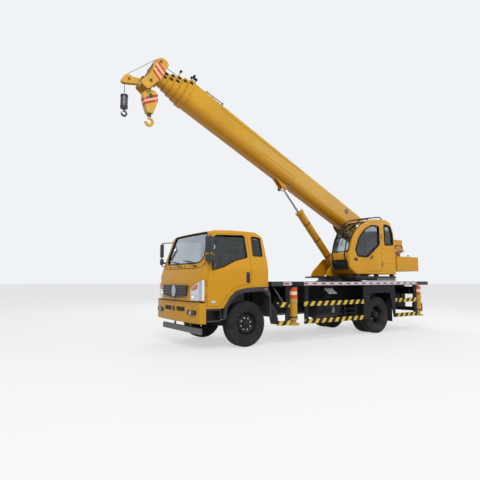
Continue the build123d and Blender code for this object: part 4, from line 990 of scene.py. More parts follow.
for number, y in enumerate((-0.66, 0.06)):
    def on_screen(across, z, off):
        return place(front_x(across, z) - off, across, z)

    hub = rod(on_screen(y, 1.80, -0.01), on_screen(y, 1.80, 0.035), 0.017)
    arm = bent_tube(
        [on_screen(y, 1.80, 0.030), on_screen(y + 0.12, 1.835, 0.032), on_screen(y + 0.34, 1.905, 0.026)],
        0.006, turn=0.03,
    )
    blade = bent_tube([on_screen(y + 0.05 + 0.08 * k, 1.878 + 0.008 * k, 0.014) for k in range(8)], 0.006)
    frame_bar = bent_tube([on_screen(y + 0.15, 1.90, 0.022), on_screen(y + 0.50, 1.935, 0.022)], 0.004)
    dress(joined([hub, arm, blade, frame_bar]), f"wiper_{number}", "carrier", black_plastic)

# Truck cab sides

DOOR_GLASS = (
    (-0.932, 1.698, 0.025), (-0.824, 2.470, 0.13), (-0.028, 2.5, 0.05), (0.008, 2.0, 0.04),
    (-0.327, 1.918, 0.15), (-0.64, 1.775, 0.2),
)
QUARTER = ((0.174, 2.035, 0.03), (0.174, 2.49, 0.04), (0.42, 2.47, 0.05), (0.445, 2.035, 0.03))
FLARE = (
    (0.612, 1.13, 0), (0.50, 1.270, 0.2), (0.30, 1.272, 0.1), (-0.055, 1.254, 0.3),
    (-0.295, 1.200, 0.3), (-0.442, 1.085, 0.3), (-0.592, 0.875, 0.3), (-0.612, 0.66, 0),
)
for hand, side in (("left", -1), ("right", 1)):
    door = f"door_{hand}"
    dress(side_seal(DOOR_GLASS, side, 0.012), f"door_seal_{hand}", door, rubber)
    gusset = corner_gusset(
        (-0.932, 1.698), (-0.824, 2.470), (-0.028, 2.5), 0.13,
        lambda x, z: place(x, side * (side_y(z) + 0.001), z), (0, -side * 0.008, 0),
    )
    dress(gusset, f"door_corner_{hand}", door, yellow_paint)
    dress(side_seal(QUARTER, side, 0.009), f"quarter_seal_{hand}", "carrier", rubber)
    flare = bent_tube([place(x, side * 1.130, z) for x, z in rounded_path(FLARE, False, 0.06)], 0.050, sides=5)
    stretched(flare, place(0, side * 1.130, 0), (1, 0.7, 1))
    dress(flare, f"arch_flare_{hand}", "carrier", black_plastic)
    line = rounded_path(((0.60, 1.03, 0), (0.80, 0.78, 0.4), (0.885, 0.44, 0)), False, 0.05)
    skin = [place(p.x, side * 0.82, p.y) for p in line]
    skin += [place(p.x + 0.014, side * 0.82, p.y + 0.004) for p in reversed(line)]
    guard = cut_plate(skin, (0, side * 0.31, 0), 0)
    dress(guard, f"wheel_guard_{hand}", "carrier", black_plastic)
    stay = rod(place(0.745, side * 1.12, 1.315), place(0.975, side * 1.19, 0.965), 0.011)
    dress(stay, f"guard_stay_{hand}", "carrier", grey_paint)
    low, high = sorted((side * 1.147, side * 1.154))
    pocket = rounded_block(place(-0.048, low, 1.425), place(0.056, high, 1.665), 0.003, 2)
    grip = bent_tube(
        [place(0.012, side * y, z) for z, y in ((1.45, 1.150), (1.455, 1.180), (1.60, 1.180), (1.605, 1.150))],
        0.012, turn=0.015,
    )
    lock = rod(place(0.004, side * 1.150, 1.637), place(0.004, side * 1.160, 1.637), 0.011)
    dress(joined([pocket, grip, lock]), f"door_handle_{hand}", door, black_plastic)
    low, high = sorted((side * 1.148, side * 1.162))
    marker = rounded_block(place(-0.955, low, 0.990), place(-0.850, high, 1.050), 0.009, 3)
    dress(marker, f"side_lamp_{hand}", door, pale_lens)
    low, high = sorted((side * 1.140, side * 1.168))
    tail_marker = rounded_block(place(0.455, low, 1.262), place(0.555, high, 1.328), 0.006)
    dress(tail_marker, f"rear_marker_{hand}", "carrier", orange_lens)
    shells = []
    for z0, z1 in ((2.07, 2.41), (1.88, 2.03)):
        low, high = sorted((side * 1.148, side * 1.338))
        shell = rounded_block(place(-1.10, low, z0), place(-1.02, high, z1), 0.022, 4)
        shells.append(swung(shell, place(-1.06, side * 1.243, 0), -side * radians(17)))
    stay = [(-0.86, 0.93, 2.44), (-1.06, 1.25, 2.44), (-1.06, 1.25, 1.838), (-0.995, 1.03, 1.85)]
    shells.append(bent_tube([place(x, side * y, z) for x, y, z in stay], 0.012, turn=0.05))
    bracket = [(-1.06, 1.250, 1.94), (-0.99, 1.215, 1.93), (-0.92, 1.165, 1.875), (-0.895, 1.140, 1.79)]
    shells.append(bent_tube([place(x, side * y, z) for x, y, z in bracket], 0.024, turn=0.06))
    mirror = dress(joined(shells), f"mirror_{hand}", "carrier", black_plastic)
    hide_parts("mirrors")
    faces = []
    for z0, z1 in ((2.07, 2.41), (1.88, 2.03)):
        low, high = sorted((side * 1.164, side * 1.322))
        face = rounded_block(place(-1.0215, low, z0 + 0.016), place(-1.0175, high, z1 - 0.016), 0.0015)
        faces.append(swung(face, place(-1.06, side * 1.243, 0), -side * radians(17)))
    dress(joined(faces), f"mirror_glass_{hand}", "carrier", mirror_face)
    ridges = []
    for z in (0.631, 0.881):
        for x in (-0.985, -0.93, -0.875, -0.82, -0.765):
            ridges.append(rod(place(x, side * 0.95, z), place(x, side * 1.115, z), 0.006, 8))
    dress(joined(ridges), f"step_ridges_{hand}", "carrier", dark_steel)

# Seats: padded cushions with piping


PAD_INSET = 0.008
PAD_VOXEL = 0.010
PAD_SWELL = 0.014
PAD_FRAMES = 20


def puffed(pad):
    """Swells a pad's cover from inside as cloth, each point held within a reach."""
    select_only(pad)
    pad.data.remesh_voxel_size = PAD_VOXEL
    bpy.ops.object.voxel_remesh()
    rest = [vertex.co.copy() for vertex in pad.data.vertices]
    bpy.ops.object.modifier_add(type="CLOTH")
    cover = pad.modifiers[-1]
    cover.settings.use_pressure = True
    cover.settings.uniform_pressure_force = 4
    cover.settings.effector_weights.gravity = 0
    for number in range(1, PAD_FRAMES + 1):
        bpy.context.scene.frame_set(number)
    bpy.ops.object.modifier_apply(modifier=cover.name)
    bpy.context.scene.frame_set(1)
    for vertex, start in zip(pad.data.vertices, rest):
        move = vertex.co - start
        if move.length > PAD_SWELL:
            vertex.co = start + move.normalized() * PAD_SWELL
    return pad


def cushion(low, high, piping_axis):
    """A stuffed pad whose cloth cover is blown out, with piping round its edge."""
    low, high = Vector(low), Vector(high)
    inset = Vector((PAD_INSET, PAD_INSET, PAD_INSET))
    pad = puffed(rounded_block(low + inset, high - inset, 0.012, 2))
    a, b = [i for i in range(3) if i != piping_axis]
    corners = []
    for i, j in ((low[a], low[b]), (high[a], low[b]), (high[a], high[b]), (low[a], high[b])):
        point = Vector((0, 0, 0))
        point[a], point[b] = i, j
        point[piping_axis] = (low[piping_axis] + high[piping_axis]) / 2
        corners.append(point)
    return joined([pad, bent_tube(corners, 0.006, closed=True, turn=0.04)])


SEAT_PITCH = 0.62
pads = [
    cushion(place(-0.275, -0.245, 1.548), place(0.198, 0.245, 1.618), 2),
    cushion(place(0.148, -0.235, 1.62), place(0.206, 0.235, 2.13), 0),
    cushion(place(0.19, -0.13, 2.16), place(0.25, 0.13, 2.32), 0),
]
pads = [copies(joined(pads), [(0, -SEAT_PITCH, 0), (0, SEAT_PITCH, 0)])]
dress(joined(pads), "cab_cushions", "carrier", seat_finish, 60)
middle = -0.79
pads = [
    cushion(place(4.34, middle - 0.235, 2.108), place(4.775, middle + 0.235, 2.178), 2),
    cushion(place(4.725, middle - 0.225, 2.18), place(4.785, middle + 0.225, 2.73), 0),
]
dress(joined(pads), "operator_cushions", "turret", seat_finish, 60)

# Deck and chassis details

bars = []
for x in (3.07, 3.50):
    bars.append(rod(place(x, -1.185, 0.53), place(x, -1.185, 0.855), 0.013))
for z in (0.62, 0.74):
    bars.append(rod(place(3.07, -1.185, z), place(3.50, -1.185, z), 0.010))
dress(joined(bars), "side_ladder", "carrier", black_paint)
for hand, side, x in (("left", -1, 1.35), ("right", 1, 1.51)):
    low, high = sorted((side * 1.216, side * 1.240))
    cover = rounded_block(place(x - 0.12, low, 1.352), place(x + 0.25, high, 1.447), 0.005)
    dress(cover, f"jack_cover_{hand}", "carrier", black_paint)
valve = rounded_block(place(2.36, -1.155, 1.20), place(2.70, -1.06, 1.32), 0.006)
hangers = rounded_block(place(2.40, -1.12, 1.31), place(2.66, -1.09, 1.438), 0.004)
dress(joined([valve, hangers]), "valve_block", "carrier", black_paint)
levers = []
for k in range(5):
    x = 2.385 + 0.062 * k
    levers.append(rod(place(x, -1.152, 1.272), place(x + 0.10, -1.195, 1.165), 0.008))
    levers.append(rod(place(x + 0.095, -1.193, 1.170), place(x + 0.125, -1.205, 1.138), 0.013))
dress(joined(levers), "valve_levers", "carrier", bare_steel)
filter_box = rounded_block(place(2.69, -1.13, 0.648), place(2.765, -1.06, 0.785), 0.008, 3)
bracket = rounded_block(place(2.70, -1.09, 0.78), place(2.755, -1.075, 0.862), 0.002)
dress(joined([filter_box, bracket]), "air_filter_box", "carrier", grey_paint)
hoses = []
for k in range(4):
    x = 2.49 + 0.05 * k
    hoses.append(
        bent_tube(
            [place(x, -1.10, 1.205), place(x + 0.02, -1.08, 1.02), place(x - 0.35, -0.80, 0.97), place(x - 0.75, -0.46, 1.02)],
            0.011, turn=0.12,
        )
    )
dress(joined(hoses), "deck_hoses", "carrier", rubber)
for hand, side in (("left", -1), ("right", 1)):
    low, high = sorted((side * 0.56, side * 1.14))
    flap = rounded_block(place(5.105, low, 0.30), place(5.117, high, 1.436), 0.004)
    dress(flap, f"mud_flap_{hand}", "carrier", rubber)
    for y0, y1, finish, name in (
        (0.68, 0.83, red_lens, "stop"), (0.84, 0.92, orange_lens, "turn"), (0.93, 0.995, lamp_glass, "reverse"),
    ):
        low, high = sorted((side * y0, side * y1))
        lens = rounded_block(place(6.822, low, 0.652), place(6.838, high, 0.758), 0.005, 3)
        dress(lens, f"{name}_lamp_{hand}", "carrier", finish)
plate = rounded_block(place(6.828, -0.22, 0.53), place(6.834, 0.22, 0.63), 0.002)
dress(plate, "rear_plate", "carrier", grey_paint)
straps = []
for side, x0, x1, r in ((1, 2.05, 3.15, 0.255), (-1, 2.35, 3.20, 0.235)):
    y = side * (0.435 + r + 0.02)
    for x in (x0 + 0.15, x1 - 0.15):
        ring = turned(
            [(r, -0.025), (r + 0.004, -0.025), (r + 0.004, 0.025), (r, 0.025)],
            place(x, y, 0.74), (1, 0, 0), (0, 0, 1), 48,
        )
        straps.append(ring)
    cap = turned(
        [(0, 0.02), (0.045, 0.02), (0.05, 0.014), (0.05, -0.01), (0, -0.01)],
        place((x0 + x1) / 2, y - side * 0.1, 0.74 + math.sqrt(r * r - 0.01)), (0, 0, 1), (1, 0, 0), 32,
    )
    straps.append(cap)
dress(joined(straps), "tank_straps", "carrier", black_paint)
seam = []
for k in range(36):
    turn = 2 * pi * k / 36
    seam.append(place(4.15 + 0.655 * cos(turn), 0.655 * sin(turn), 1.470))
flange = turned(
    [(0.622, 0), (0.690, 0), (0.690, 0.020), (0.622, 0.020)], place(4.15, 0, 1.450), (0, 0, 1), (1, 0, 0), 96
)
dress(flange, "slew_flange", "carrier", dark_steel)
dress(bolt_row(seam, (0, 0, 1), 0.013), "slew_bolts", "carrier", bare_steel)
boxes = []
for x0, x1 in ((1.27, 1.59), (6.16, 6.48)):
    for side in (-1, 1):
        for x in (x0, x1):
            for z in (1.07, 1.29):
                boxes.append(place(x, side * 1.0, z))
left = [p for p in boxes if p.y < 0]
right = [p for p in boxes if p.y > 0]
bolts = joined([bolt_row(left, (0, -1, 0), 0.010), bolt_row(right, (0, 1, 0), 0.010)])
dress(bolts, "box_bolts", "carrier", bare_steel)
for name, side, x in (
    ("front_left", -1, 1.35), ("front_right", 1, 1.51), ("rear_left", -1, 6.40), ("rear_right", 1, 6.24),
):
    y = side * 1.118
    cap = turned(
        [(0, 0.012), (0.05, 0.012), (0.056, 0.008), (0.092, 0.006), (0.097, 0), (0, 0)],
        place(x, y, 1.312), (0, 0, 1), (1, 0, 0), 40,
    )
    fitting = rod(place(x, y, 1.32), place(x, y, 1.341), 0.018, 6)
    band = turned(
        [(0.1, -0.02), (0.106, -0.02), (0.106, 0.02), (0.1, 0.02)], place(x, y, 0.60), (0, 0, 1), (1, 0, 0), 48
    )
    dress(joined([cap, fitting, band]), f"jack_cap_{name}", f"outrigger_{name}", dark_steel)
    collar = turned(
        [(0.1, -0.045), (0.107, -0.041), (0.107, 0.041), (0.1, 0.045)], place(x, y, 0.99), (0, 0, 1), (1, 0, 0), 48
    )
    dress(collar, f"jack_collar_{name}", f"outrigger_{name}", brass_paint)
    bolts = round_bolts(place(x, y, 0.446), (0, 0, 1), 0.118, 6, 0.009)
    dress(bolts, f"pad_bolts_{name}", f"jack_{name}", bare_steel)

# Operator's cab: seals, screen tubes, wiper, handles, roof rail

OP_SIDE = (
    (3.630, 1.655, 0.05), (5.370, 1.655, 0.05), (5.345, 2.520, 0.9), (5.290, 2.900, 0.4),
    (5.150, 3.190, 0.12), (4.930, 3.262, 0.3), (4.400, 3.235, 0.7), (4.020, 3.105, 0.6),
    (3.670, 2.865, 0.6), (3.490, 2.570, 0.6), (3.400, 2.290, 0.12), (3.342, 2.190, 0.05),
    (3.342, 2.080, 0.05), (3.390, 1.810, 0.2),
)
OP_WINDOW = (
    (3.606, 2.325, 0.06), (3.743, 2.657, 0.4), (4.009, 2.918, 0.4), (4.321, 3.043, 0.3),
    (4.600, 3.035, 0.06), (4.612, 2.516, 0.08), (4.085, 2.138, 0.2), (3.683, 2.159, 0.06),
)
OP_QUARTER = (
    (4.849, 3.110, 0.05), (5.120, 3.060, 0.09), (5.200, 2.860, 0.15), (5.240, 2.534, 0.05),
    (4.866, 2.514, 0.05),
)
OP_LEFT = -1.15
OP_RIGHT = -0.43
dress(flat_seal(OP_WINDOW, OP_LEFT - 0.001, 0.023), "operator_door_seal", "operator_door", rubber)
seals = [flat_seal(OP_QUARTER, OP_LEFT - 0.001, 0.023), flat_seal(OP_WINDOW, OP_RIGHT + 0.001, 0.019)]
dress(joined(seals), "operator_cab_seals", "turret", rubber)
outer = rounded_path(OP_SIDE, True, 0.05)
screen_line = sorted([p for p in outer if p.x < 4.16 and 2.245 < p.y], key=lambda p: p.y)
tubes = []
for y in (-1.063, -0.497):
    tubes.append(bent_tube([place(p.x - 0.004, y, p.y + 0.003) for p in screen_line], 0.015))
for p in (screen_line[0], screen_line[-1]):
    tubes.append(rod(place(p.x - 0.004, -1.063, p.y), place(p.x - 0.004, -0.497, p.y), 0.011))
low_pane = ((-1.055, 1.795, 0.05), (-1.055, 2.035, 0.05), (-0.505, 2.035, 0.05), (-0.505, 1.795, 0.05))


def op_front_x(z):
    below = max((p for p in outer if p.x < 4 and p.y <= z), key=lambda p: p.y)
    above = min((p for p in outer if p.x < 4 and p.y >= z), key=lambda p: p.y)
    rise = above.y - below.y
    return below.x if rise < 1e-6 else below.x + (above.x - below.x) * (z - below.y) / rise


tubes.append(bent_tube([place(op_front_x(z) - 0.002, y, z) for y, z in rounded_path(low_pane)], 0.020, closed=True))
dress(joined(tubes), "operator_screen_seals", "turret", rubber)
sweep = [p for p in screen_line if 2.36 < p.y < 2.86]
blade = bent_tube([place(p.x - 0.014, -0.80, p.y + 0.006) for p in sweep], 0.007)
arm = bent_tube(
    [place(op_front_x(2.26) - 0.02, -0.72, 2.26), place(op_front_x(2.45) - 0.034, -0.76, 2.45),
     place(op_front_x(2.62) - 0.030, -0.80, 2.63)], 0.006, turn=0.03,
)
hub = rod(place(op_front_x(2.26) + 0.01, -0.72, 2.26), place(op_front_x(2.26) - 0.03, -0.72, 2.265), 0.016)
dress(joined([blade, arm, hub]), "operator_wiper", "turret", black_plastic)
rails = []
for y in (-1.02, -0.56):
    rails.append(
        bent_tube(
            [
                place(4.95, y, 3.25), place(4.84, y, 3.345), place(4.02, y, 3.225), place(3.60, y, 2.935),
                place(3.385, y, 2.55), place(3.285, y, 2.16), place(3.345, y, 2.06),
            ],
            0.017, turn=0.12,
        )
    )
for x, z in ((4.62, 3.313), (4.10, 3.237), (3.44, 2.66)):
    rails.append(rod(place(x, -1.02, z), place(x, -0.56, z), 0.013))
dress(joined(rails), "operator_guard_rails", "turret", black_paint)
grip = turned(
    [(0, 0.016), (0.045, 0.014), (0.062, 0.006), (0.066, -0.002), (0, -0.002)],
    place(3.61, -1.150, 2.059), (0, -1, 0), (1, 0, 0), 40,
)
stretched(grip, place(3.61, -1.150, 2.059), (1.25, 1, 0.75))
pull = rounded_block(place(4.205, -1.168, 2.108), place(4.335, -1.147, 2.156), 0.010, 3)
open_mesh(pull)
bpy.ops.transform.rotate(
    value=radians(38), orient_axis="Y", center_override=place(4.27, -1.158, 2.132)
)
close_mesh()
dress(joined([grip, pull]), "operator_door_handles", "operator_door", black_plastic)
DOOR_BEADS = (
    ((3.52, 1.86), (4.046, 1.901), (4.552, 2.321), (4.700, 2.425)),
    ((3.60, 1.745), (4.715, 1.745)),
)
PANEL_BEADS = (((4.745, 2.415), (5.320, 2.385)), ((4.760, 1.980), (5.330, 1.986)), ((4.750, 1.745), (5.340, 1.745)))
for name, body, lines in (
    ("operator_door_beads", "operator_door", DOOR_BEADS), ("operator_panel_beads", "turret", PANEL_BEADS),
):
    beads = [bent_tube([place(x, OP_LEFT + 0.004, z) for x, z in line], 0.012, turn=0.15) for line in lines]
    dress(joined(beads), name, body, yellow_paint)
levers = []
for y in (-0.66, -0.93):
    levers.append(rod(place(4.20, y, 1.70), place(4.14, y, 2.28), 0.010))
    levers.append(rounded_block(place(4.11, y - 0.02, 2.26), place(4.16, y + 0.02, 2.33), 0.012, 3))
dress(joined(levers), "operator_levers", "turret", black_plastic)

# Turret: the operator's tray, pivot caps, winch drives and ropes, hoses

tray = rounded_block(place(3.62, -1.12, 1.478), place(4.50, -0.73, 1.5545), 0.006)
dress(tray, "operator_tray", "turret", black_paint)
box = rounded_block(place(4.52, -1.12, 1.470), place(5.36, -0.73, 1.5545), 0.008)
ribs = [rounded_block(place(x, -1.126, 1.480), place(x + 0.03, -1.118, 1.545), 0.003) for x in (4.72, 4.93, 5.14)]
dress(joined([box, *ribs]), "operator_tool_box", "turret", grey_paint)


def pin_cap(centre, side, radius, body_name, name):
    """A pin's end: a collar, a keeper plate and its bolts."""
    axis = Vector((0, side, 0))
    cap = turned(
        [(0, 0.012), (radius * 0.6, 0.012), (radius * 0.66, 0.006), (radius, 0.006), (radius, -0.002), (0, -0.002)],
        centre, axis, (1, 0, 0), 40,
    )
    bolts = round_bolts(Vector(centre) + axis * 0.006, axis, radius * 0.8, 6, radius * 0.09)
    return dress(joined([cap, bolts]), name, body_name, dark_steel)


for hand, side in (("left", -1), ("right", 1)):
    pin_cap(place(5.4, side * 0.344, 2.6), side, 0.075, "turret", f"pivot_cap_{hand}")
    pin_cap(on_boom(3.678, side * 0.205, -0.141), side, 0.05, "boom_base", f"eye_cap_{hand}")
windings = []
for x, z, radius in ((6.24, 2.44, 0.1275), (6.62, 2.44, 0.1125)):
    rows = [(radius - 0.002, -0.205)]
    for k in range(24):
        y = -0.205 + 0.0171 * (k + 0.5)
        rows += [(radius + 0.006, y - 0.0071), (radius + 0.0145, y), (radius + 0.006, y + 0.0071)]
    rows.append((radius - 0.002, 0.205))
    windings.append(turned(rows, place(x, 0, z), (0, 1, 0), (1, 0, 0), 48))
dress(joined(windings), "winch_windings", "turret", wire)
winch_bolts = []
for x, z, radius in ((6.24, 2.44, 0.17), (6.62, 2.44, 0.15)):
    for side in (-1, 1):
        winch_bolts.append(round_bolts(place(x, side * 0.319, z), (0, side, 0), radius * 0.72, 10, 0.010))
dress(joined(winch_bolts), "winch_bolts", "turret", bare_steel)
for name, x, radius in (("front", 6.24, 0.118), ("rear", 6.62, 0.104)):
    drive = turned(
        [(0, 0.135), (radius * 0.45, 0.135), (radius * 0.55, 0.125), (radius * 0.62, 0.085), (radius * 0.9, 0.075),
         (radius, 0.062), (radius, -0.002), (0, -0.002)],
        place(x, -0.3205, 2.44), (0, -1, 0), (1, 0, 0), 48,
    )
    motor = rod(place(x, -0.44, 2.44), place(x, -0.535, 2.44), radius * 0.42, 24)
    ports = [rod(place(x + d, -0.49, 2.44), place(x + d, -0.49, 2.50), 0.012, 12) for d in (-0.02, 0.02)]
    dress(joined([drive, motor]), f"winch_drive_{name}", "turret", brass_paint)
    dress(joined(ports), f"winch_ports_{name}", "turret", bare_steel)
    feeds = [
        bent_tube(
            [place(x + d, -0.49, 2.495), place(x + d, -0.49, 2.60), place(x + d - 0.24, -0.42, 2.62), place(x + d - 0.42, -0.36, 2.40)],
            0.011, turn=0.10,
        )
        for d in (-0.02, 0.02)
    ]
    dress(joined(feeds), f"winch_hoses_{name}", "turret", rubber)
hoses = []
for y in (-0.10, 0.0, 0.10):
    hoses.append(
        bent_tube(
            [place(4.95, y, 1.62), place(5.15, y, 1.80), place(5.30, y, 2.15), place(5.28, y, 2.42)], 0.014, turn=0.12
        )
    )
dress(joined(hoses), "turret_hoses", "turret", rubber)
eyes = []
for x in (5.95, 6.45):
    for y in (-0.82, 0.82):
        eyes.append(
            bent_tube(
                [place(x - 0.05, y, 2.205), place(x - 0.05, y, 2.27), place(x + 0.05, y, 2.27), place(x + 0.05, y, 2.205)],
                0.011, turn=0.045,
            )
        )
dress(joined(eyes), "weight_eyes", "turret", black_paint)

# Boom: collar bolts, rope over its back, guide posts, head ropes and pins

COLLARS = (
    ("boom_base", 0.50, -0.065, 0.540, 7.390), ("boom_section_2", 0.45, -0.040, 0.488, 7.537),
    ("boom_section_3", 0.40, -0.016, 0.436, 7.684), ("boom_section_4", 0.35, 0.006, 0.384, 7.831),
    ("boom_section_5", 0.30, 0.028, 0.332, 7.978),
)
for body, width, belly, top, face in COLLARS:
    runs = []
    for side in (-1, 1):
        y = side * (width / 2 + 0.016)
        spots = [on_boom(face - off, y, belly + (top - belly) * share) for share in (0.45, 0.7, 0.95) for off in (0.03, 0.11)]
        runs.append(bolt_row(spots, (0, side, 0), 0.009))
    spots = [on_boom(face - 0.07, across * width, top + 0.016) for across in (-0.4, -0.15, 0.15, 0.4)]
    runs.append(bolt_row(spots, (sin(BOOM_TILT), 0, cos(BOOM_TILT)), 0.009))
    dress(joined(runs), f"collar_bolts_{body}", body, boom_paint_with_painted_belly_shade)
    drops = (0.065,) if width > 0.42 else (0.03, 0.13)
    stops = []
    for side in (-1, 1):
        y0, y1 = sorted((side * (width / 2 + 0.010), side * (width / 2 + 0.030)))
        for drop in drops:
            stops.append(
                boom_block((face - 0.085, y0, top - drop - 0.028), (face - 0.005, y1, top - drop + 0.028), 0.005)
            )
    dress(joined(stops), f"collar_stops_{body}", body, black_paint)


def guide_post(u, low, high, body, name):
    """A stout rod on a collar beside the rope, with a capped head."""
    foot = boom_block((u - 0.04, 0.025, low), (u + 0.04, 0.095, low + 0.014), 0.003)
    post = rod(on_boom(u, 0.06, low), on_boom(u, 0.06, high - 0.03), 0.017)
    dress(joined([foot, post]), name, body, brass_paint)
    head = boom_block((u - 0.028, 0.032, high - 0.07), (u + 0.028, 0.088, high), 0.012)
    dress(head, f"{name}_head", body, rubber)


for hand, side in (("left", -1), ("right", 1)):
    eye_plate = turned(
        [(0, 0.010), (0.040, 0.010), (0.044, 0.016), (0.066, 0.016), (0.078, 0.006), (0.082, -0.002), (0, -0.002)],
        on_boom(1.43, side * 0.25, 0.40), (0, side, 0), (1, 0, 0), 40,
    )
    dress(eye_plate, f"boom_inspection_cap_{hand}", "boom_base", grey_paint)


guide_post(7.33, 0.556, 0.865, "boom_base", "guide_post_base")
guide_post(7.63, 0.452, 0.800, "boom_section_3", "guide_post_middle")
sensor = [
    boom_block((7.255, -0.210, 0.550), (7.275, -0.175, 0.670)),
    boom_block((7.315, -0.210, 0.550), (7.335, -0.175, 0.700)),
    boom_block((7.235, -0.220, 0.660), (7.345, -0.165, 0.705), 0.010),
    boom_block((7.315, -0.220, 0.690), (7.370, -0.165, 0.760), 0.012),
]
dress(joined(sensor), "boom_sensor", "boom_base", rubber)
rail = [
    bent_tube([on_boom(6.92, -0.2, 0.600), on_boom(6.41, -0.2, 0.622)], 0.012),
    boom_block((6.385, -0.222, 0.535), (6.425, -0.178, 0.640), 0.006),
    boom_block((6.700, -0.215, 0.535), (6.730, -0.185, 0.612), 0.004),
    boom_block((6.895, -0.215, 0.535), (6.925, -0.185, 0.612), 0.004),
]
dress(joined(rail), "boom_rail", "boom_base", grey_paint)
EDGE_STRIP = ((6.52, 0.536), (6.33, 0.447), (5.40, 0.443), (4.20, 0.455), (3.44, 0.508), (3.38, 0.536))
for hand, side in (("left", -1), ("right", 1)):
    strip = cut_plate([on_boom(u, side * 0.249, v) for u, v in EDGE_STRIP], (0, side * 0.009, 0), 0.002)
    dress(strip, f"boom_edge_strip_{hand}", "boom_base", boom_paint_with_painted_belly_shade)
belly_arc = [
    (-0.05 - 0.2 * sin(radians(15 * k)), 0.135 - 0.2 * cos(radians(15 * k))) for k in range(7)
]
half_bead = [(5.02, 0.0, -0.065)] + [(5.02 - 0.008 * k, y, v) for k, (y, v) in enumerate(belly_arc)]
half_bead += [(4.96, -0.25, 0.140), (4.78, -0.25, 0.186), (3.63, -0.25, 0.206)]
half_bead += [(3.63 + 0.010 * k, y, v) for k, (y, v) in enumerate(reversed(belly_arc))]
half_bead += [(3.70, 0.0, -0.065)]
bead = half_bead + [(u, -y, v) for u, y, v in reversed(half_bead[1:-1])]
bead = bent_tube([on_boom(u, y, v) for u, y, v in bead], 0.008, closed=True)
dress(bead, "boom_belly_bead", "boom_base", boom_paint_with_painted_belly_shade)
rope = bent_tube(
    [on_boom(u, 0, v) for u, v in ((0.30, 0.612), (2.6, 0.600), (5.0, 0.600), (7.33, 0.605))], 0.0075
)
dress(rope, "boom_rope", "boom_base", wire)
roller = turned(
    [(0.022, -0.16), (0.03, -0.16), (0.03, 0.16), (0.022, 0.16)], on_boom(0.30, 0, 0.574), (0, 1, 0), (1, 0, 0), 32
)
stands = [rod(on_boom(0.30, y, 0.535), on_boom(0.30, y, 0.606), 0.016) for y in (-0.175, 0.175)]
axle = rod(on_boom(0.30, -0.19, 0.574), on_boom(0.30, 0.19, 0.574), 0.010)
dress(joined([roller, axle, *stands]), "rope_roller", "boom_base", black_paint)
drum_top, tail = place(6.24, 0, 2.44 + 0.142), on_boom(0.28, 0, 0.614)
lead = bent_tube([drum_top.lerp(tail, k / 24) for k in range(25)], 0.0075)
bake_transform(dress(lead, "winch_rope", None, wire))
over = [(7.33, 0.605), (7.62, 0.602), (8.08, 0.590), (8.16, 0.563)]
for k in range(1, 8):
    turn = radians(95 - 15 * k)
    over.append((8.176 + 0.113 * cos(turn), 0.445 + 0.113 * sin(turn)))
over += [(8.293, 0.16), (8.300, -0.10)]
for k in range(1, 6):
    turn = radians(-14 * k)
    over.append((8.170 + 0.138 * cos(turn), -0.119 + 0.138 * sin(turn)))
falls = [bent_tube([on_boom(u, 0.06, v) for u, v in over], 0.0075)]
falls.append(bent_tube([on_boom(u, -0.06, v) for u, v in over[3:]], 0.0075))
stay = [on_boom(8.296, 0, 0.50), on_boom(8.640, 0, -0.225)]
falls.append(bent_tube([stay[0].lerp(stay[1], k / 8) for k in range(9)], 0.006))
dress(joined(falls), "head_ropes", "boom_section_5", wire)
for hand, side in (("left", -1), ("right", 1)):
    for tag, u, v, off, radius in (
        ("main", 8.170, -0.119, 0.214, 0.032), ("top", 8.176, 0.445, 0.214, 0.030),
        ("hinge", 8.350, -0.180, 0.204, 0.026), ("nose", 8.571, -0.341, 0.074, 0.024),
    ):
        pin_cap(on_boom(u, side * off, v), side, radius, "boom_section_5", f"{tag}_pin_{hand}")

# Luffing cylinder: a hose up the barrel and gland bolts

foot = place(4.05, 0, 1.82)
eye = on_boom(3.678, 0, -0.141)
run = (eye - foot).normalized()
side_off = Vector((0, 0.118, 0))
pipe = bent_tube(
    [foot + run * 0.30 + side_off * 0.9, foot + run * 0.34 + side_off, foot + run * 2.02 + side_off,
     foot + run * 2.10 + side_off * 0.9], 0.011, turn=0.03,
)
clips = []
for rise in (0.55, 1.15, 1.75):
    clips.append(
        turned([(0.106, -0.012), (0.109, -0.012), (0.109, 0.012), (0.106, 0.012)], foot + run * rise, run, (0, 1, 0), 48)
    )
dress(joined([pipe, *clips]), "barrel_pipe", "luff_barrel", black_paint)
gland = round_bolts(foot + run * 2.2005, run, 0.098, 10, 0.008)
dress(gland, "gland_bolts", "luff_barrel", bare_steel)

# Hooks: cheek bolts, pin caps, catches

for hand, side in (("left", -1), ("right", 1)):
    pin_cap(place(-1.97, side * 0.086, 5.70), side, 0.05, "hook_block", f"block_pin_{hand}")
    spots = [place(-1.97 + dx, side * 0.086, z) for dx, z in ((-0.13, 5.62), (0.13, 5.62), (-0.055, 5.36), (0.055, 5.36))]
    dress(bolt_row(spots, (0, side, 0), 0.012), f"block_bolts_{hand}", "hook_block", bare_steel)
catch = bent_tube([place(-1.985, 0, 5.20), place(-2.03, 0, 5.165), place(-2.055, 0, 5.118)], 0.006, turn=0.02)
dress(catch, "hook_catch", "hook_block", chrome)
nut = turned(
    [(0, 0.02), (0.05, 0.02), (0.056, 0.012), (0.056, -0.03), (0, -0.03)], place(-1.97, 0, 5.27), (0, 0, 1), (1, 0, 0), 6
)
dress(nut, "hook_nut", "hook_block", dark_steel)
catch = bent_tube([place(-2.57, 0, 5.235), place(-2.60, 0, 5.212), place(-2.615, 0, 5.182)], 0.004, turn=0.01)
bands = []
for z in (5.32, 5.57):
    bands.append(turned([(0.082, -0.012), (0.086, -0.012), (0.086, 0.012), (0.082, 0.012)], place(-2.56, 0, z), (0, 0, 1), (1, 0, 0), 48))
dress(joined([catch, *bands]), "aux_hook_bands", "aux_hook", black_paint)


# Studio


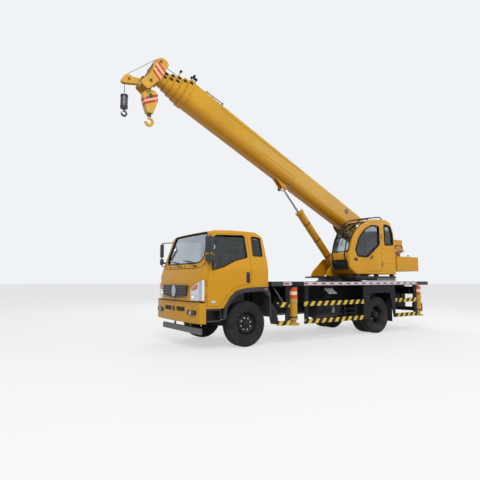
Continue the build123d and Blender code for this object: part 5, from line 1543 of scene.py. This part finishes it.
def studio():
    bpy.ops.mesh.primitive_plane_add(size=400, location=(0, 0, 0))
    floor = bpy.context.object
    floor.name = "floor"
    material, tree, shader = start_finish("pale floor", 0.85, specular=0.2)
    pale = blend_colour(tree, speckle(tree, 1.5, 6.0), (0.60, 0.60, 0.60), (0.66, 0.66, 0.65))
    looks = tree.nodes.new("ShaderNodeLightPath")
    seen = sums(tree, "MAXIMUM", looks.outputs["Is Camera Ray"], looks.outputs["Is Glossy Ray"])
    seen = sums(tree, "MAXIMUM", seen, looks.outputs["Is Transmission Ray"])
    shader.inputs["Emission Color"].default_value = (1, 1, 1, 1)
    put(tree, blend_colour(tree, seen, pale, (0.30, 0.30, 0.30)), shader.inputs["Base Color"])
    put(tree, sums(tree, "MULTIPLY", seen, 0.56), shader.inputs["Emission Strength"])
    floor.data.materials.append(material)
    world = bpy.data.worlds.new("pale sky")
    world.use_nodes = True
    sky = world.node_tree
    paths = sky.nodes.new("ShaderNodeLightPath")
    shown = sky.nodes.new("ShaderNodeMath")
    shown.operation = "MAXIMUM"
    sky.links.new(paths.outputs["Is Camera Ray"], shown.inputs[0])
    sky.links.new(paths.outputs["Is Glossy Ray"], shown.inputs[1])
    clear = sky.nodes.new("ShaderNodeMath")
    clear.operation = "MAXIMUM"
    sky.links.new(shown.outputs[0], clear.inputs[0])
    sky.links.new(paths.outputs["Is Transmission Ray"], clear.inputs[1])
    strength = sky.nodes.new("ShaderNodeMapRange")
    sky.links.new(clear.outputs[0], strength.inputs["Value"])
    strength.inputs["To Min"].default_value = 0.56
    strength.inputs["To Max"].default_value = 0.92
    background = sky.nodes["Background"]
    background.inputs["Color"].default_value = (0.95, 0.97, 1.0, 1)
    sky.links.new(strength.outputs["Result"], background.inputs["Strength"])
    bpy.context.scene.world = world
    lamps = []
    for name, spot, power, size in (
        ("key", (-9, -12, 14), 1900, 7.0),
        ("fill", (10, -9, 8), 500, 8.0),
        ("back", (6, 12, 12), 800, 8.0),
    ):
        bpy.ops.object.light_add(type="AREA", location=spot)
        lamp = bpy.context.object
        lamp.name = name
        lamp.data.energy = power
        lamp.data.size = size
        lamp.rotation_mode = "QUATERNION"
        lamp.rotation_quaternion = (Vector((-0.5, 0, 2.5)) - Vector(spot)).to_track_quat("-Z", "Y")
        lamps.append(lamp)
    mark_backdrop(floor, *lamps)


studio()

bpy.ops.object.camera_add(location=place(-5.4046, -8.89, 1.4701))
camera = bpy.context.object
camera.data.lens = 31.32
camera.data.sensor_width = 36
camera.data.clip_end = 500
forward = Vector((0.5538, 0.8269, 0.0972))
camera.rotation_mode = "QUATERNION"
camera.rotation_quaternion = forward.to_track_quat("-Z", "Y")
bpy.context.scene.camera = camera
bpy.context.scene.view_settings.view_transform = "Standard"

low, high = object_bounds()
